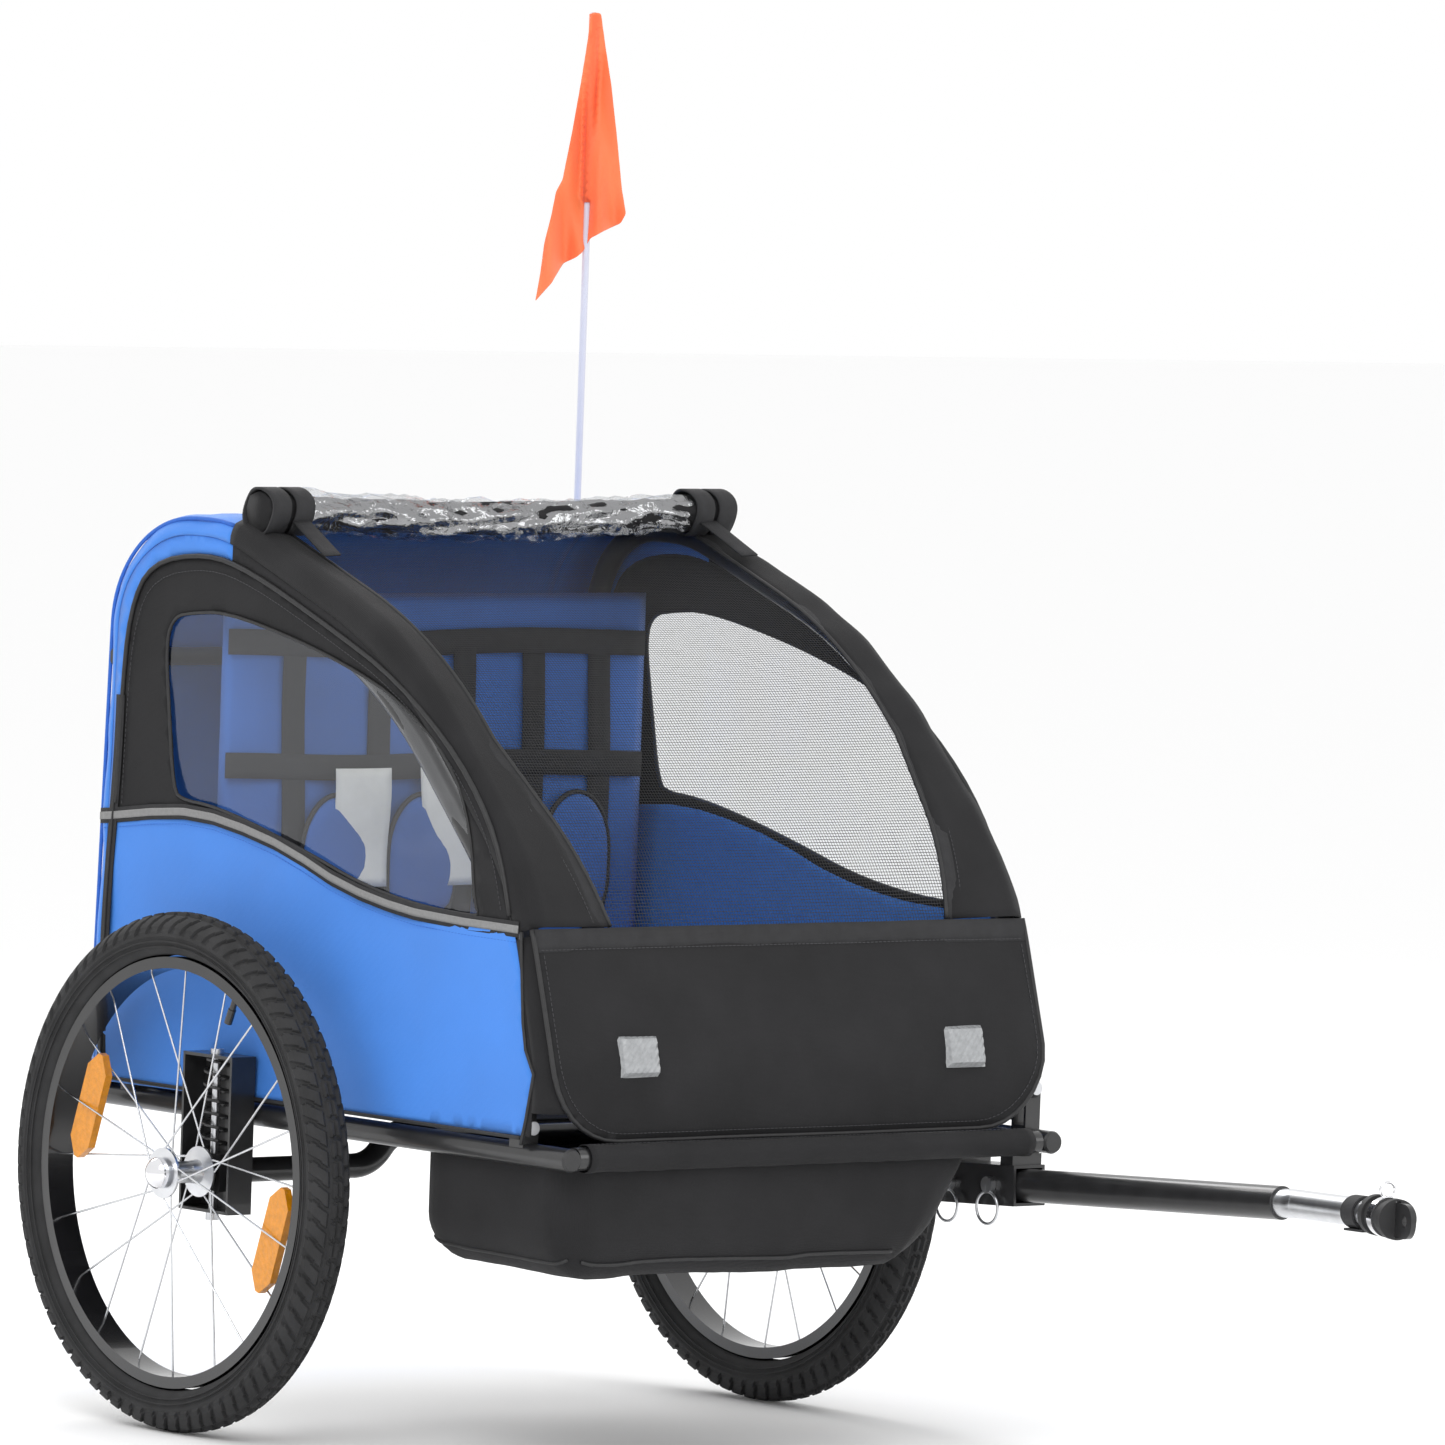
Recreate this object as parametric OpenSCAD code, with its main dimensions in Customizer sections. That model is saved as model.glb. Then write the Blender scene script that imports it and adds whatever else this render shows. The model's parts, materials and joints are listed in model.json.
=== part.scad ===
// Two-wheeled child bicycle trailer: tube frame, fabric cabin, sprung wheels, side drawbar.
// X = across (+X is the trailer's left side, where the drawbar is), +Y = rearward, Z up, ground at z = 0.

/* [Overall] */
// Distance between the two wheel mid-planes
track = 730; // [640:10:860]
// Outer radius of the tyres
wheel_r = 250; // [205:5:300]
// From the axle forward to the front cross tube
front_reach = 500; // [420:5:600]
// From the axle back to the rear end of the side rails
rear_reach = 232; // [200:2:280]
// Height of the hoop tops above the side rails
hoop_rise = 555; // [470:5:665]

/* [Frame tubes] */
// Outside diameter of the frame tubes
tube_d = 22; // [18:0.5:26.5]
// Wall thickness of the frame tubes
tube_wall = 1.6; // [1.2:0.1:2.4]
// How much smaller the right hoop is than the left one, so that they nest when folded
hoop_nest = 32; // [28:1:40]
// Height of the side rails above the wheel axle
rail_up = 56; // [46:2:80]
// Height of the hoop hinges above the side rails
hinge_up = 25; // [22:1:32]

/* [Wheels and suspension] */
// Width of the tyres
tyre_w = 48; // [40:1:54]
// Spokes in each wheel
spoke_count = 20; // [16:4:28]
// Wire diameter of the spokes
spoke_d = 2.0; // [1.6:0.2:2.6]
// Diameter of the stub axles
axle_d = 12; // [10:1:15]
// Upward travel of each wheel on its spring
wheel_travel = 25; // [15:1:32]
// Outside diameter of the suspension springs
spring_d = 26; // [20:1:27]
// Wire diameter of the suspension springs
spring_wire = 3.2; // [2.4:0.2:4]
// Turns in each suspension spring
spring_turns = 7; // [5:0.5:9]

/* [Drawbar] */
// From the front cross tube forward to the centre of the hitch hole
hitch_reach = 630; // [500:5:720]
// Height of the hitch plate above the wheel axle
hitch_up = 35; // [10:1:50]
// Outside diameter of the drawbar tube
drawbar_d = 32; // [26:1:36]
// Diameter of the hitch hole
hitch_hole_d = 10.4; // [8:0.1:14]
// Thickness of the hitch plate
hitch_plate_t = 5; // [4:0.5:8]

/* [Cabin] */
// Thickness of the fabric panels
fabric_t = 1.5; // [1:0.1:2.5]
// Half width of the centre strip of the roof and of the front screen
screen_half_w = 245; // [200:5:260]
// Diameter of the rolled-up rain cover
roll_d = 42; // [32:1:52]
// Height of the flag pole's top above the ground
flag_top = 1373; // [1200:1:1600]

/* [Hidden] */
$fn = 64;
axle_z = wheel_r;
rail_z = axle_z + rail_up;
tr = tube_d/2;
rail_x = track/2 - 70;
hinge_z = rail_z + hinge_up;
top_z = rail_z + hoop_rise;
skin_x = rail_x + tr + 1.5;
lean = 1.4;
hinge_l = hinge_z + tube_d + 3;
hr_y = rear_reach - 26;
hf_y = -(front_reach - 30);
hitch_y = -(front_reach + hitch_reach);
plate_r = 16;
y_off = (front_reach + hitch_reach + plate_r - wheel_r)/2;
hitch_z = axle_z + hitch_up;
tow_x = rail_x - 25;
tow_z = rail_z - 41;
pin_r = 4;
rod_r = 4;
spring_x = track/2 - 38.5;
br_x0 = rail_x + tr + 3.5;
br_x1 = track/2 - 27;
br_z0 = axle_z - 39;
br_z1 = axle_z + 113;
blue = [0.30, 0.56, 0.90];
blk = [0.12, 0.12, 0.13];
steel = [0.62, 0.63, 0.65];

// ---- shared helpers ----
module P() translate([0, y_off, 0]) children();
module yz(x0, t) translate([x0, 0, 0]) rotate([90, 0, 90]) linear_extrude(t) children();
module xz(y0, t) translate([0, y0 + t, 0]) rotate([90, 0, 0]) linear_extrude(t) children();
module both() { children(); mirror([1, 0, 0]) children(); }
module box(a, b) translate(a) cube(b - a);
module cx(x0, x1, y, z, r) translate([x0, y, z]) rotate([0, 90, 0]) cylinder(h = x1 - x0, r = r);
module cy(x, y0, y1, z, r) translate([x, y0, z]) rotate([-90, 0, 0]) cylinder(h = y1 - y0, r = r);
module cz(x, y, z0, z1, r) translate([x, y, z0]) cylinder(h = z1 - z0, r = r);
module tube_y(x, y0, y1, z, r, w) difference() { cy(x, y0, y1, z, r); cy(x, y0 - 1, y1 + 1, z, r - w); }
module tube_x(x0, x1, y, z, r, w) difference() { cx(x0, x1, y, z, r); cx(x0 - 1, x1 + 1, y, z, r - w); }
// profile coordinates: front and rear lengths and heights follow the overall sizes
function fy(y) = y < 0 ? y*front_reach/500 : y*rear_reach/232;
function fz(z) = rail_z + (z - 306)*hoop_rise/555;
function q(y, z) = [fy(y), fz(z)];
function rev(v) = [for (i = [len(v) - 1:-1:0]) v[i]];
function unit(v) = v/norm(v);
function turn(a, b, c) = let (u = unit(b - a), w = unit(c - b)) acos(min(1, max(-1, u*w)));
// corner points of a hoop's centre line, seen from the side, starting at height z0, moved inwards by n
function hoop_v(n, z0) = let (v = [[hr_y, z0], [hr_y, top_z], [fy(57), top_z], [fy(-213), fz(762)], [fy(-418), fz(558)],
  [hf_y, rail_z + 80], [hf_y, z0]]) [for (i = [0:len(v) - 1]) let (a = left_n(unit(v[max(i, 1)] - v[max(i, 1) - 1])),
  b = left_n(unit(v[min(i + 1, 6)] - v[min(i + 1, 6) - 1]))) v[i] + n*(a + b)/(1 + a*b)];
function hoop_t(v) = [0, 95, 0.11*norm(v[3] - v[2]), 0.36*norm(v[4] - v[3]), 0.4*norm(v[5] - v[4]), 11, 0];
// one corner: centre, radius and turning sense of the bend at vertex i
function bend_r(v, t, i) = t[i]/tan(turn(v[i - 1], v[i], v[i + 1])/2);
function bend_in(v, t, i) = v[i] - unit(v[i] - v[i - 1])*t[i];
function bend_out(v, t, i) = v[i] + unit(v[i + 1] - v[i])*t[i];
function left_n(u) = [-u[1], u[0]];
function bend_c(v, t, i) = bend_in(v, t, i) + left_n(unit(v[i] - v[i - 1]))*bend_r(v, t, i);
// sampled points and outward normals of the left hoop's line
function samples() = let (v = hoop_v(0, rail_z + tr + 1.5), t = hoop_t(v)) concat([[v[0], [1, 0]]],
  [for (i = [1:5]) let (c = bend_c(v, t, i), r = bend_r(v, t, i), u0 = unit(v[i] - v[i - 1]), u1 = unit(v[i + 1] - v[i]),
    n0 = -left_n(u0), s0 = atan2(n0[1], n0[0]), an = turn(v[i - 1], v[i], v[i + 1]), k = 7)
    for (j = [0:k]) let (a = s0 + an*j/k, n = [cos(a), sin(a)]) [c + n*r, n]],
  [[v[6], [-1, 0]]]);
// skin line: d outside the hoop, but dr behind its rear leg
function skin(d, dr) = [for (s = samples()) [s[0][0] + s[1][0]*(s[1][0] > 0 ? dr : d), s[0][1] + s[1][1]*d]];
function skin_z(y) = lookup(y, [for (p = rev(skin(14 + fabric_t, 34 + fabric_t))) if (p[1] > fz(600)) p]);
module band(d0, d1, r0, r1) polygon(concat(skin(d1, r1), rev(skin(d0, r0))));
module outline() polygon(skin(14 + fabric_t, 34 + fabric_t));
function front_y(z) = lookup(z, [for (p = rev(skin(16.5 + fabric_t, 34))) if (p[0] < fy(-300)) [p[1], p[0]]]);
// turn the sides slightly inwards towards the roof
module leaning(z = rail_z + tr) translate([rail_x, 0, z]) rotate([0, -lean, 0]) translate([-rail_x, 0, -z]) children();
module inside() intersection() { leaning() box([-900, -900, 0], [skin_x - 0.1, 900, 2000]); mirror([1, 0, 0]) leaning() box([-900, -900, 0], [skin_x - 0.1, 900, 2000]); }
// everything with y between a and b and z between c and d
module win(a, b, c, d) translate([a, c]) square([b - a, d - c]);

// a bent round tube through corner points v, with tangent lengths t; the bends may turn either way
module ring2(r, w) difference() { circle(r = r); circle(r = r - w); }
module bent(v, t, r, w) {
  for (i = [0:len(v) - 2]) let (a = i == 0 ? v[0] : bo(v, t, i), b = i == len(v) - 2 ? v[i + 1] : bi(v, t, i + 1), d = b - a)
    if (norm(d) > 0.5) translate([0, a[0], a[1]]) rotate([atan2(-d[0], d[1]), 0, 0]) linear_extrude(norm(d)) ring2(r, w);
  for (i = [1:len(v) - 2]) let (s = sgn(v, i), u = unit(v[i] - v[i - 1]), rr = t[i]/tan(turn(v[i - 1], v[i], v[i + 1])/2), c = bi(v, t, i) + left_n(u)*rr*s,
      n0 = -left_n(u)*s, a0 = atan2(n0[1], n0[0]), an = turn(v[i - 1], v[i], v[i + 1]))
    translate([0, c[0], c[1]]) rotate([90, 0, 90]) rotate([0, 0, s > 0 ? a0 : a0 - an]) rotate_extrude(angle = an) translate([rr, 0]) ring2(r + 0.12, w + 0.24);
}
function bi(v, t, i) = v[i] - unit(v[i] - v[i - 1])*t[i];
function bo(v, t, i) = v[i] + unit(v[i + 1] - v[i])*t[i];
function sgn(v, i) = let (a = v[i] - v[i - 1], b = v[i + 1] - v[i]) (a[0]*b[1] - a[1]*b[0]) > 0 ? 1 : -1;
module hoop(n, hz, ye, yf) {
  v = hoop_v(n, hz + 17); t = hoop_t(v);
  bent(v, t, tr, tube_wall);
  for (y = [ye, yf]) difference() {
    union() { cy(0, y - 7, y + 7, hz, 9); box([-9, y - 7, hz], [9, y + 7, hz + 17.5]); cz(0, y, hz + 16.5, hz + 27, tr - tube_wall + 0.3); }
    cy(0, y - 12, y + 12, hz, 4.06);
  }
}

// ---- base frame ----
module side_rails() P() color(blk) both() tube_y(rail_x, -(front_reach + 10), rear_reach, rail_z, tr, tube_wall);
module cross_tubes() P() color(blk) {
  e = rail_x - tr - 0.15;
  for (y = [-front_reach, rear_reach - 11, fy(-287), fy(60)]) tube_x(-e, e, y, rail_z, tr, tube_wall);
  // cup that the flag pole stands in
  difference() {
    union() { cz(pole_x, pole_y, rail_z - 8, rail_z + 40, 6.5); box([rail_x - 21, rear_reach - 1, rail_z - 6], [rail_x - 13, pole_y + 4, rail_z + 6]); box([rail_x - 21, pole_y - 4, rail_z - 6], [pole_x, pole_y + 4, rail_z + 6]); }
    cz(pole_x, pole_y, rail_z, rail_z + 50, 3.6);
    cx(pole_x - 30, pole_x + 30, rear_reach - 11, rail_z, tr + 0.2);
  }
}
module rail_caps() P() color(blk) both() for (s = [[-(front_reach + 10), -1], [rear_reach, 1]]) {
  translate([rail_x, s[0], rail_z]) rotate([s[1] < 0 ? 90 : -90, 0, 0]) cylinder(h = 3, r1 = tr, r2 = tr - 1.5);
  translate([rail_x, s[0], rail_z]) rotate([s[1] < 0 ? -90 : 90, 0, 0]) cylinder(h = 12, r = tr - tube_wall - 0.06);
}
module hinge_bracket(y, hz) difference() {
  union() {
    for (s = [-1, 1]) {
      cy(0, y + s*8.9 - 1.5, y + s*8.9 + 1.5, hz, 9);
      box([-9, y + s*8.9 - 1.5, rail_z], [9, y + s*8.9 + 1.5, hz]);
    }
    box([-9, y - 10.4, rail_z], [9, y + 10.4, rail_z + tr + 3]);
  }
  cy(0, y - 20, y + 20, hz, 4.06);
  cy(0, y - 20, y + 20, rail_z, tr + 0.04);
}
// the left hoop's hinges sit one tube higher, so that it folds down on top of the right hoop
hinge_ys = [[hr_y, 1, hinge_l], [hf_y, 1, hinge_l], [hr_y - hoop_nest, -1, hinge_z], [hf_y + hoop_nest, -1, hinge_z]];
module hinge_brackets() P() color(blk) for (h = hinge_ys) translate([h[1]*rail_x, 0, 0]) hinge_bracket(h[0], h[2]);
module hinge_bolts() P() color(steel) for (h = hinge_ys) translate([h[1]*rail_x, 0, 0]) {
  cy(0, h[0] - 10.6, h[0] + 10.6, h[2], 4);
  cy(0, h[0] - 15.4, h[0] - 10.6, h[2], 6.5);
  cy(0, h[0] + 10.6, h[0] + 13, h[2], 6.5);
}
module hoop_left() P() color(blk) leaning(hinge_l) translate([rail_x, 0, 0]) hoop(0, hinge_l, hr_y, hf_y);
module hoop_right() P() color(blk) mirror([1, 0, 0]) leaning(hinge_z) translate([rail_x, 0, 0]) hoop(hoop_nest, hinge_z, hr_y - hoop_nest, hf_y + hoop_nest);
// folding brace behind the rear legs; its ends hook against the two hoops
cb_z = top_z - 130;
cb_y = hr_y + tr + 11.3;
cb_x = rail_x - (cb_z - hinge_l)*sin(lean);
module rear_crossbar() P() color(blk) {
  difference() { cx(-cb_x - 9, cb_x + 9, cb_y, cb_z, 9); cx(-cb_x - 5, cb_x + 5, cb_y, cb_z, 7.6); }
  difference() { box([cb_x - 9, hr_y + 2, cb_z - 12], [cb_x + 9, cb_y - 4, cb_z + 12]); cz(cb_x, hr_y, cb_z - 20, cb_z + 20, tr + 0.3); cx(cb_x - 20, cb_x + 20, cb_y, cb_z, 8.5); box([cb_x - 20, hr_y - 20, cb_z - 20], [cb_x + 20, hr_y + tr + 0.3, cb_z + 20]); }
  difference() { box([-cb_x - 9, hr_y - hoop_nest + tr + 0.3, cb_z - 12], [-cb_x + 9, cb_y - 4, cb_z + 12]); cx(-cb_x - 20, -cb_x + 20, cb_y, cb_z, 8.5); }
}
// dropped beam that carries the two wheel brackets
module axle_beam() P() color(blk) rotate([0, 0, -90]) {
  e = br_x0 - 0.1;
  bent([[-e, axle_z], [-137, axle_z], [-112, rail_z - tr - 12.5], [112, rail_z - tr - 12.5], [137, axle_z], [e, axle_z]], [0, 20, 20, 20, 20, 0], 12, 2);
}

// ---- suspension, written for the left side ----
module bracket() {
  difference() {
    union() {
      box([br_x0, -39, br_z0], [br_x0 + 3, 39, br_z1]);
      box([br_x0, -39, br_z0], [br_x1, -36, br_z1]);
      box([br_x0, 36, br_z0], [br_x1, 39, br_z1]);
      box([br_x0, -39, br_z0], [br_x1, 39, br_z0 + 3]);
      box([br_x0, -39, br_z1 - 3], [br_x1, 39, br_z1]);
      for (y = [-26, 26]) difference() { cx(rail_x, br_x0 + 1, y, rail_z, 8); cy(rail_x, -60, 60, rail_z, tr + 0.03); }
    }
    cz(spring_x, 0, br_z0 - 1, br_z0 + 4, rod_r + 0.04);
    cz(spring_x, 0, br_z1 - 4, br_z1 + 1, rod_r + 0.04);
  }
  for (y = [-26, 26]) { cx(br_x0 + 3, br_x0 + 7, y, rail_z, 6.5); }
}
module guide_rod() { cz(spring_x, 0, br_z0 - 5, br_z1 + 5, rod_r); cz(spring_x, 0, br_z0 - 8, br_z0 - 0.2, 6.5); cz(spring_x, 0, br_z1 + 0.2, br_z1 + 5, 6.5); }
module carriage() {
  difference() {
    union() {
      box([br_x0 + 3.6, -20, axle_z - 18], [track/2 - 31, 20, axle_z + 18]);
      cx(track/2 - 31.5, track/2 - 28, 0, axle_z, axle_d/2 + 3);
      cx(track/2 - 29, track/2 + 31, 0, axle_z, axle_d/2);
    }
    cz(spring_x, 0, axle_z - 20, axle_z + 20, rod_r + 0.06);
  }
}
// closed helix sweep, wire sections of eight sides
module spring() {
  z0 = axle_z + 18.3 + spring_wire/2; z1 = br_z1 - 3.3 - spring_wire/2; R = (spring_d - spring_wire)/2; w = spring_wire/2;
  n = round(spring_turns*16); m = 8; dz = z1 - z0;
  pts = [for (i = [0:n]) let (a = 360*spring_turns*i/n, z = z0 + dz*i/n) for (j = [0:m - 1]) let (b = 360*j/m)
    [spring_x + (R + w*cos(b))*cos(a), (R + w*cos(b))*sin(a), z + w*sin(b)]];
  fs = concat([[for (j = [m - 1:-1:0]) j]], [for (i = [0:n - 1]) for (j = [0:m - 1]) [i*m + j, i*m + (j + 1)%m, (i + 1)*m + (j + 1)%m, (i + 1)*m + j]],
    [[for (j = [0:m - 1]) n*m + j]]);
  polyhedron(points = pts, faces = [for (f = fs) rev(f)]);
}
module bracket_left() P() color(blk) bracket();
module bracket_right() P() color(blk) mirror([1, 0, 0]) bracket();
module guide_rod_left() P() color(steel) guide_rod();
module guide_rod_right() P() color(steel) mirror([1, 0, 0]) guide_rod();
module carriage_left() P() color(steel) carriage();
module carriage_right() P() color(steel) mirror([1, 0, 0]) carriage();
module spring_left() P() color(steel) spring();
module spring_right() P() color(steel) mirror([1, 0, 0]) spring();

// ---- wheels, written for the left side ----
rim_o = wheel_r - 43;
rim_i = wheel_r - 54;
module wheel_axis() translate([track/2, 0, axle_z]) rotate([0, 90, 0]) children();
module tyre() wheel_axis() rotate_extrude() intersection() {
  translate([wheel_r - tyre_w/2, 0]) circle(r = tyre_w/2);
  translate([rim_o + 0.2, -40]) square([60, 80]);
}
module rim() {
  wheel_axis() rotate_extrude() difference() {
    translate([rim_i, -15]) square([rim_o - rim_i, 30]);
    translate([rim_i + 3, -12]) square([5, 24]);
  }
  // tyre valve
  translate([track/2, 0, axle_z]) rotate([24, 0, 0]) { cz(0, 0, rim_i - 30, rim_i + 0.5, 3.2); cz(0, 0, rim_i - 33, rim_i - 18, 4); }
}
module spokes() for (s = [-1, 1]) for (i = [0:spoke_count/2 - 1]) {
  a = 360*(i + (s > 0 ? 0.5 : 0))*2/spoke_count; sw = (i%2 == 0 ? 1 : -1)*32;
  p0 = [track/2 + s*21.5, (24.6)*cos(a + sw), axle_z + 24.6*sin(a + sw)];
  p1 = [track/2 + s*2.2, (rim_i - 0.1)*cos(a), axle_z + (rim_i - 0.1)*sin(a)];
  d = p1 - p0;
  translate(p0) rotate([0, acos(d[2]/norm(d)), atan2(d[1], d[0])]) cylinder(h = norm(d), r = spoke_d/2, $fn = 24);
}
module hub() wheel_axis() rotate_extrude() polygon([[axle_d/2 + 0.06, -26], [11, -26], [11, -23], [24.4, -22.6], [24.4, -20.2], [12, -18],
  [10.5, -8], [10.5, 8], [12, 18], [24.4, 20.2], [24.4, 22.6], [11, 23], [11, 26], [axle_d/2 + 0.06, 26]]);
module hub_cap() wheel_axis() difference() {
  rotate_extrude() union() { translate([0, 26.2]) square([15, 5]); intersection() { translate([0, 22.2]) circle(r = 17.4); translate([0, 31]) square([15, 12]); } }
  translate([0, 0, 20]) cylinder(h = 11.6, r = axle_d/2 + 0.06);
}
module wheel_reflectors() for (a = [19, 199]) translate([track/2, 0, axle_z]) rotate([a, 0, 0]) translate([0, 157, 0])
  rotate([0, -90, 0]) translate([0, 0, -4]) linear_extrude(8) polygon([[-54, -3], [-38, -15.5], [38, -15.5], [54, -3], [54, 3], [38, 15.5], [-38, 15.5], [-54, 3]]);
module tyre_left() P() color(blk) tyre();
module tyre_right() P() color(blk) mirror([1, 0, 0]) tyre();
module rim_left() P() color(blk) rim();
module rim_right() P() color(blk) mirror([1, 0, 0]) rim();
module spokes_left() P() color(steel) spokes();
module spokes_right() P() color(steel) mirror([1, 0, 0]) spokes();
module hub_left() P() color(steel) hub();
module hub_right() P() color(steel) mirror([1, 0, 0]) hub();
module hub_cap_left() P() color(steel) hub_cap();
module hub_cap_right() P() color(steel) mirror([1, 0, 0]) hub_cap();
module wheel_reflectors_left() P() color([0.95, 0.6, 0.1]) wheel_reflectors();
module wheel_reflectors_right() P() color([0.95, 0.6, 0.1]) mirror([1, 0, 0]) wheel_reflectors();

// ---- drawbar ----
rh = drawbar_d/2 + 0.6;
bar_y = -(front_reach + 6);
jy = -(front_reach + 373);
jz = tow_z + (hitch_z - tow_z)*0.9;
bar_pitch = atan2(jz - tow_z, bar_y - jy);
// everything on the drawbar's line, which rises slightly towards the front
module tilt() translate([tow_x, bar_y, tow_z]) rotate([-bar_pitch, 0, 0]) children();
pin_ys = [32, 92];
module tow_receiver() P() color(blk) difference() {
  union() {
    tilt() box([-rh - 3, -2, -rh - 3], [rh + 3, 116, rh + 3]);
    box([tow_x - rh - 2, -(front_reach + 4), tow_z + rh - 3], [tow_x + rh + 1, -(front_reach - 14), rail_z + 2]);
    box([tow_x - rh + 2, -(front_reach - 90), tow_z + rh - 7], [rail_x + 9, -(front_reach - 108), rail_z - tr - 3]);
    box([rail_x - 8, -(front_reach - 92), tow_z + rh + 2], [rail_x + 8, -(front_reach - 106), rail_z]);
  }
  tilt() box([-rh, -20, -rh], [rh, 130, rh]);
  cx(rail_x - 90, rail_x + 90, -front_reach, rail_z, tr + 0.04);
  cy(rail_x, -front_reach - 90, 0, rail_z, tr + 0.04);
  tilt() for (y = pin_ys) cx(-60, 60, y, 0, pin_r + 0.06);
}
module drawbar() P() color(blk) tilt() difference() {
  tube_y(0, jy - bar_y, 110, 0, drawbar_d/2, 2.2);
  for (y = pin_ys) cx(-60, 60, y, 0, pin_r + 0.06);
}
tip_r = drawbar_d/2 - 2.4;
tip_a = 18;
tip_b = 60;
// the bend starts past the end of the straight tube; the tip ends behind the rubber joint
bend_y = jy - 12;
cp_l = 50;
cp_back = cp_l - 10 + 30;
tip_len = (bend_y - hitch_y - cp_back*cos(tip_a) - tip_b*sin(tip_a))/cos(tip_a);
tip_end = [tow_x - tip_b*(1 - cos(tip_a)) - tip_len*sin(tip_a), bend_y - tip_b*sin(tip_a) - tip_len*cos(tip_a)];
cp_z = tow_z + (bar_y - tip_end[1])*tan(bar_pitch);
module tip_dir() tilt() translate([-tip_b*(1 - cos(tip_a)), bend_y - bar_y - tip_b*sin(tip_a), 0]) rotate([0, 0, -tip_a]) children();
module drawbar_tip() P() color(steel) {
  tilt() tube_y(0, bend_y - bar_y, jy - bar_y + 34, 0, tip_r, 2.2);
  tilt() translate([-tip_b, bend_y - bar_y, 0]) rotate([0, 0, -tip_a]) rotate_extrude(angle = tip_a) translate([tip_b, 0]) ring2(tip_r + 0.12, 2.44);
  tip_dir() tube_y(0, -tip_len, 0, 0, tip_r, 2.2);
}
// lock pin with its pull ring, hanging down at rest
module lock_pin(y) tilt() {
  cx(-rh - 9, rh + 6, y, 0, pin_r);
  cx(-rh - 9, -rh - 3.2, y, 0, 8);
  translate([-rh - 7.5, y, -22]) rotate([0, 90, 0]) rotate_extrude() translate([15.5, 0]) circle(r = 1.4, $fn = 16);
  cz(-rh - 7.5, y, -8, 0, 1.6);
}
module lock_pin_front() P() color(steel) lock_pin(pin_ys[0]);
module lock_pin_rear() P() color(steel) lock_pin(pin_ys[1]);
// rubber joint between the tip and the hitch plate
module cp_dir() translate([tip_end[0] - 0.3*sin(tip_a), tip_end[1] - 0.3*cos(tip_a), cp_z]) rotate([0, 0, -tip_a]) children();
module coupler() P() color(blk) difference() {
  cp_dir() union() { cy(0, -cp_l, -cp_l + 9, 0, 19); cy(0, -cp_l + 9, -9, 0, 16.5); cy(0, -9, -0.6, 0, 19); }
  cp_dir() box([-hitch_plate_t/2 - 0.1, -cp_l - 2, -17], [hitch_plate_t/2 + 0.1, -cp_l + 12, 17]);
}
module coupler_clip() P() color(steel) cp_dir() {
  difference() { cy(0, -cp_l/2 - 5, -cp_l/2 + 5, 0, 18.6); cy(0, -cp_l/2 - 6, -cp_l/2 + 6, 0, 16.8); }
  translate([0, -cp_l/2, 25]) rotate([90, 0, 0]) rotate_extrude() translate([7.2, 0]) circle(r = 1.3, $fn = 16);
}
hitch_x = tip_end[0] - cp_back*sin(tip_a);
module hitch_plate() P() color(blk) translate([hitch_x, hitch_y, cp_z]) rotate([0, 0, -tip_a]) difference() {
  union() {
    cx(-hitch_plate_t/2, hitch_plate_t/2, 0, 0, plate_r);
    box([-hitch_plate_t/2, 0, -plate_r], [hitch_plate_t/2, 30, plate_r]);
  }
  cx(-20, 20, 0, 0, hitch_hole_d/2);
}
module safety_strap() P() color(blk) tip_dir() {
  difference() { cy(0, -tip_len + 18, -tip_len + 44, 0, tip_r + 2.3); cy(0, -tip_len + 17, -tip_len + 45, 0, tip_r + 0.3); }
  box([-12, -tip_len + 2, -tip_r - 3.2], [12, -tip_len + 44, -tip_r - 1]);
}

// ---- cabin ----
ft = fabric_t;
inx = skin_x - 0.5;
floor_z = rail_z + tr + 0.4;
module floor() P() color(blk) box([-(rail_x - 12), fy(-287) + tr + 1, floor_z], [rail_x - 12, rear_reach - 6, floor_z + ft]);
bag_x1 = tow_x - rh - 62;
module bag2(g) polygon([[-(rail_x - 16) + g, floor_z - 1], [bag_x1 - g, floor_z - 1], [bag_x1 - 16 - g, rail_z - 80], [bag_x1 - 60, rail_z - 115 + g],
  [-(rail_x - 60), rail_z - 115 + g], [-(rail_x - 24) + g, rail_z - 90]]);
module footwell() P() color(blk) difference() {
  union() {
    xz(-(front_reach - tr - 1), front_reach - tr - 2 + fy(-287) - tr) bag2(0);
    box([-(rail_x - 12), -(front_reach - tr - 1), floor_z - 1], [rail_x - 12, fy(-287) + tr + 0.8, floor_z + ft]);
  }
  xz(-(front_reach - tr - 1 - ft), front_reach - tr - 2 + fy(-287) - tr - 2*ft) bag2(ft);
  box([-(rail_x - 16) + ft, -(front_reach - tr - 1 - ft), floor_z - 2], [bag_x1 - ft, fy(-287) - tr - 1 - ft, floor_z + 5]);
  both() { cy(rail_x, -front_reach - 90, 0, rail_z, tr + 0.3); }
  cx(-rail_x, rail_x, fy(-287), rail_z, tr + 0.3);
  cx(-rail_x, rail_x, -front_reach, rail_z, tr + 0.3);
  box([tow_x - rh - 8, -(front_reach + 10), rail_z - 60], [tow_x + rh + 8, -(front_reach - 120), floor_z - 0.2]);
}
belt_z = fz(516);
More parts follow.
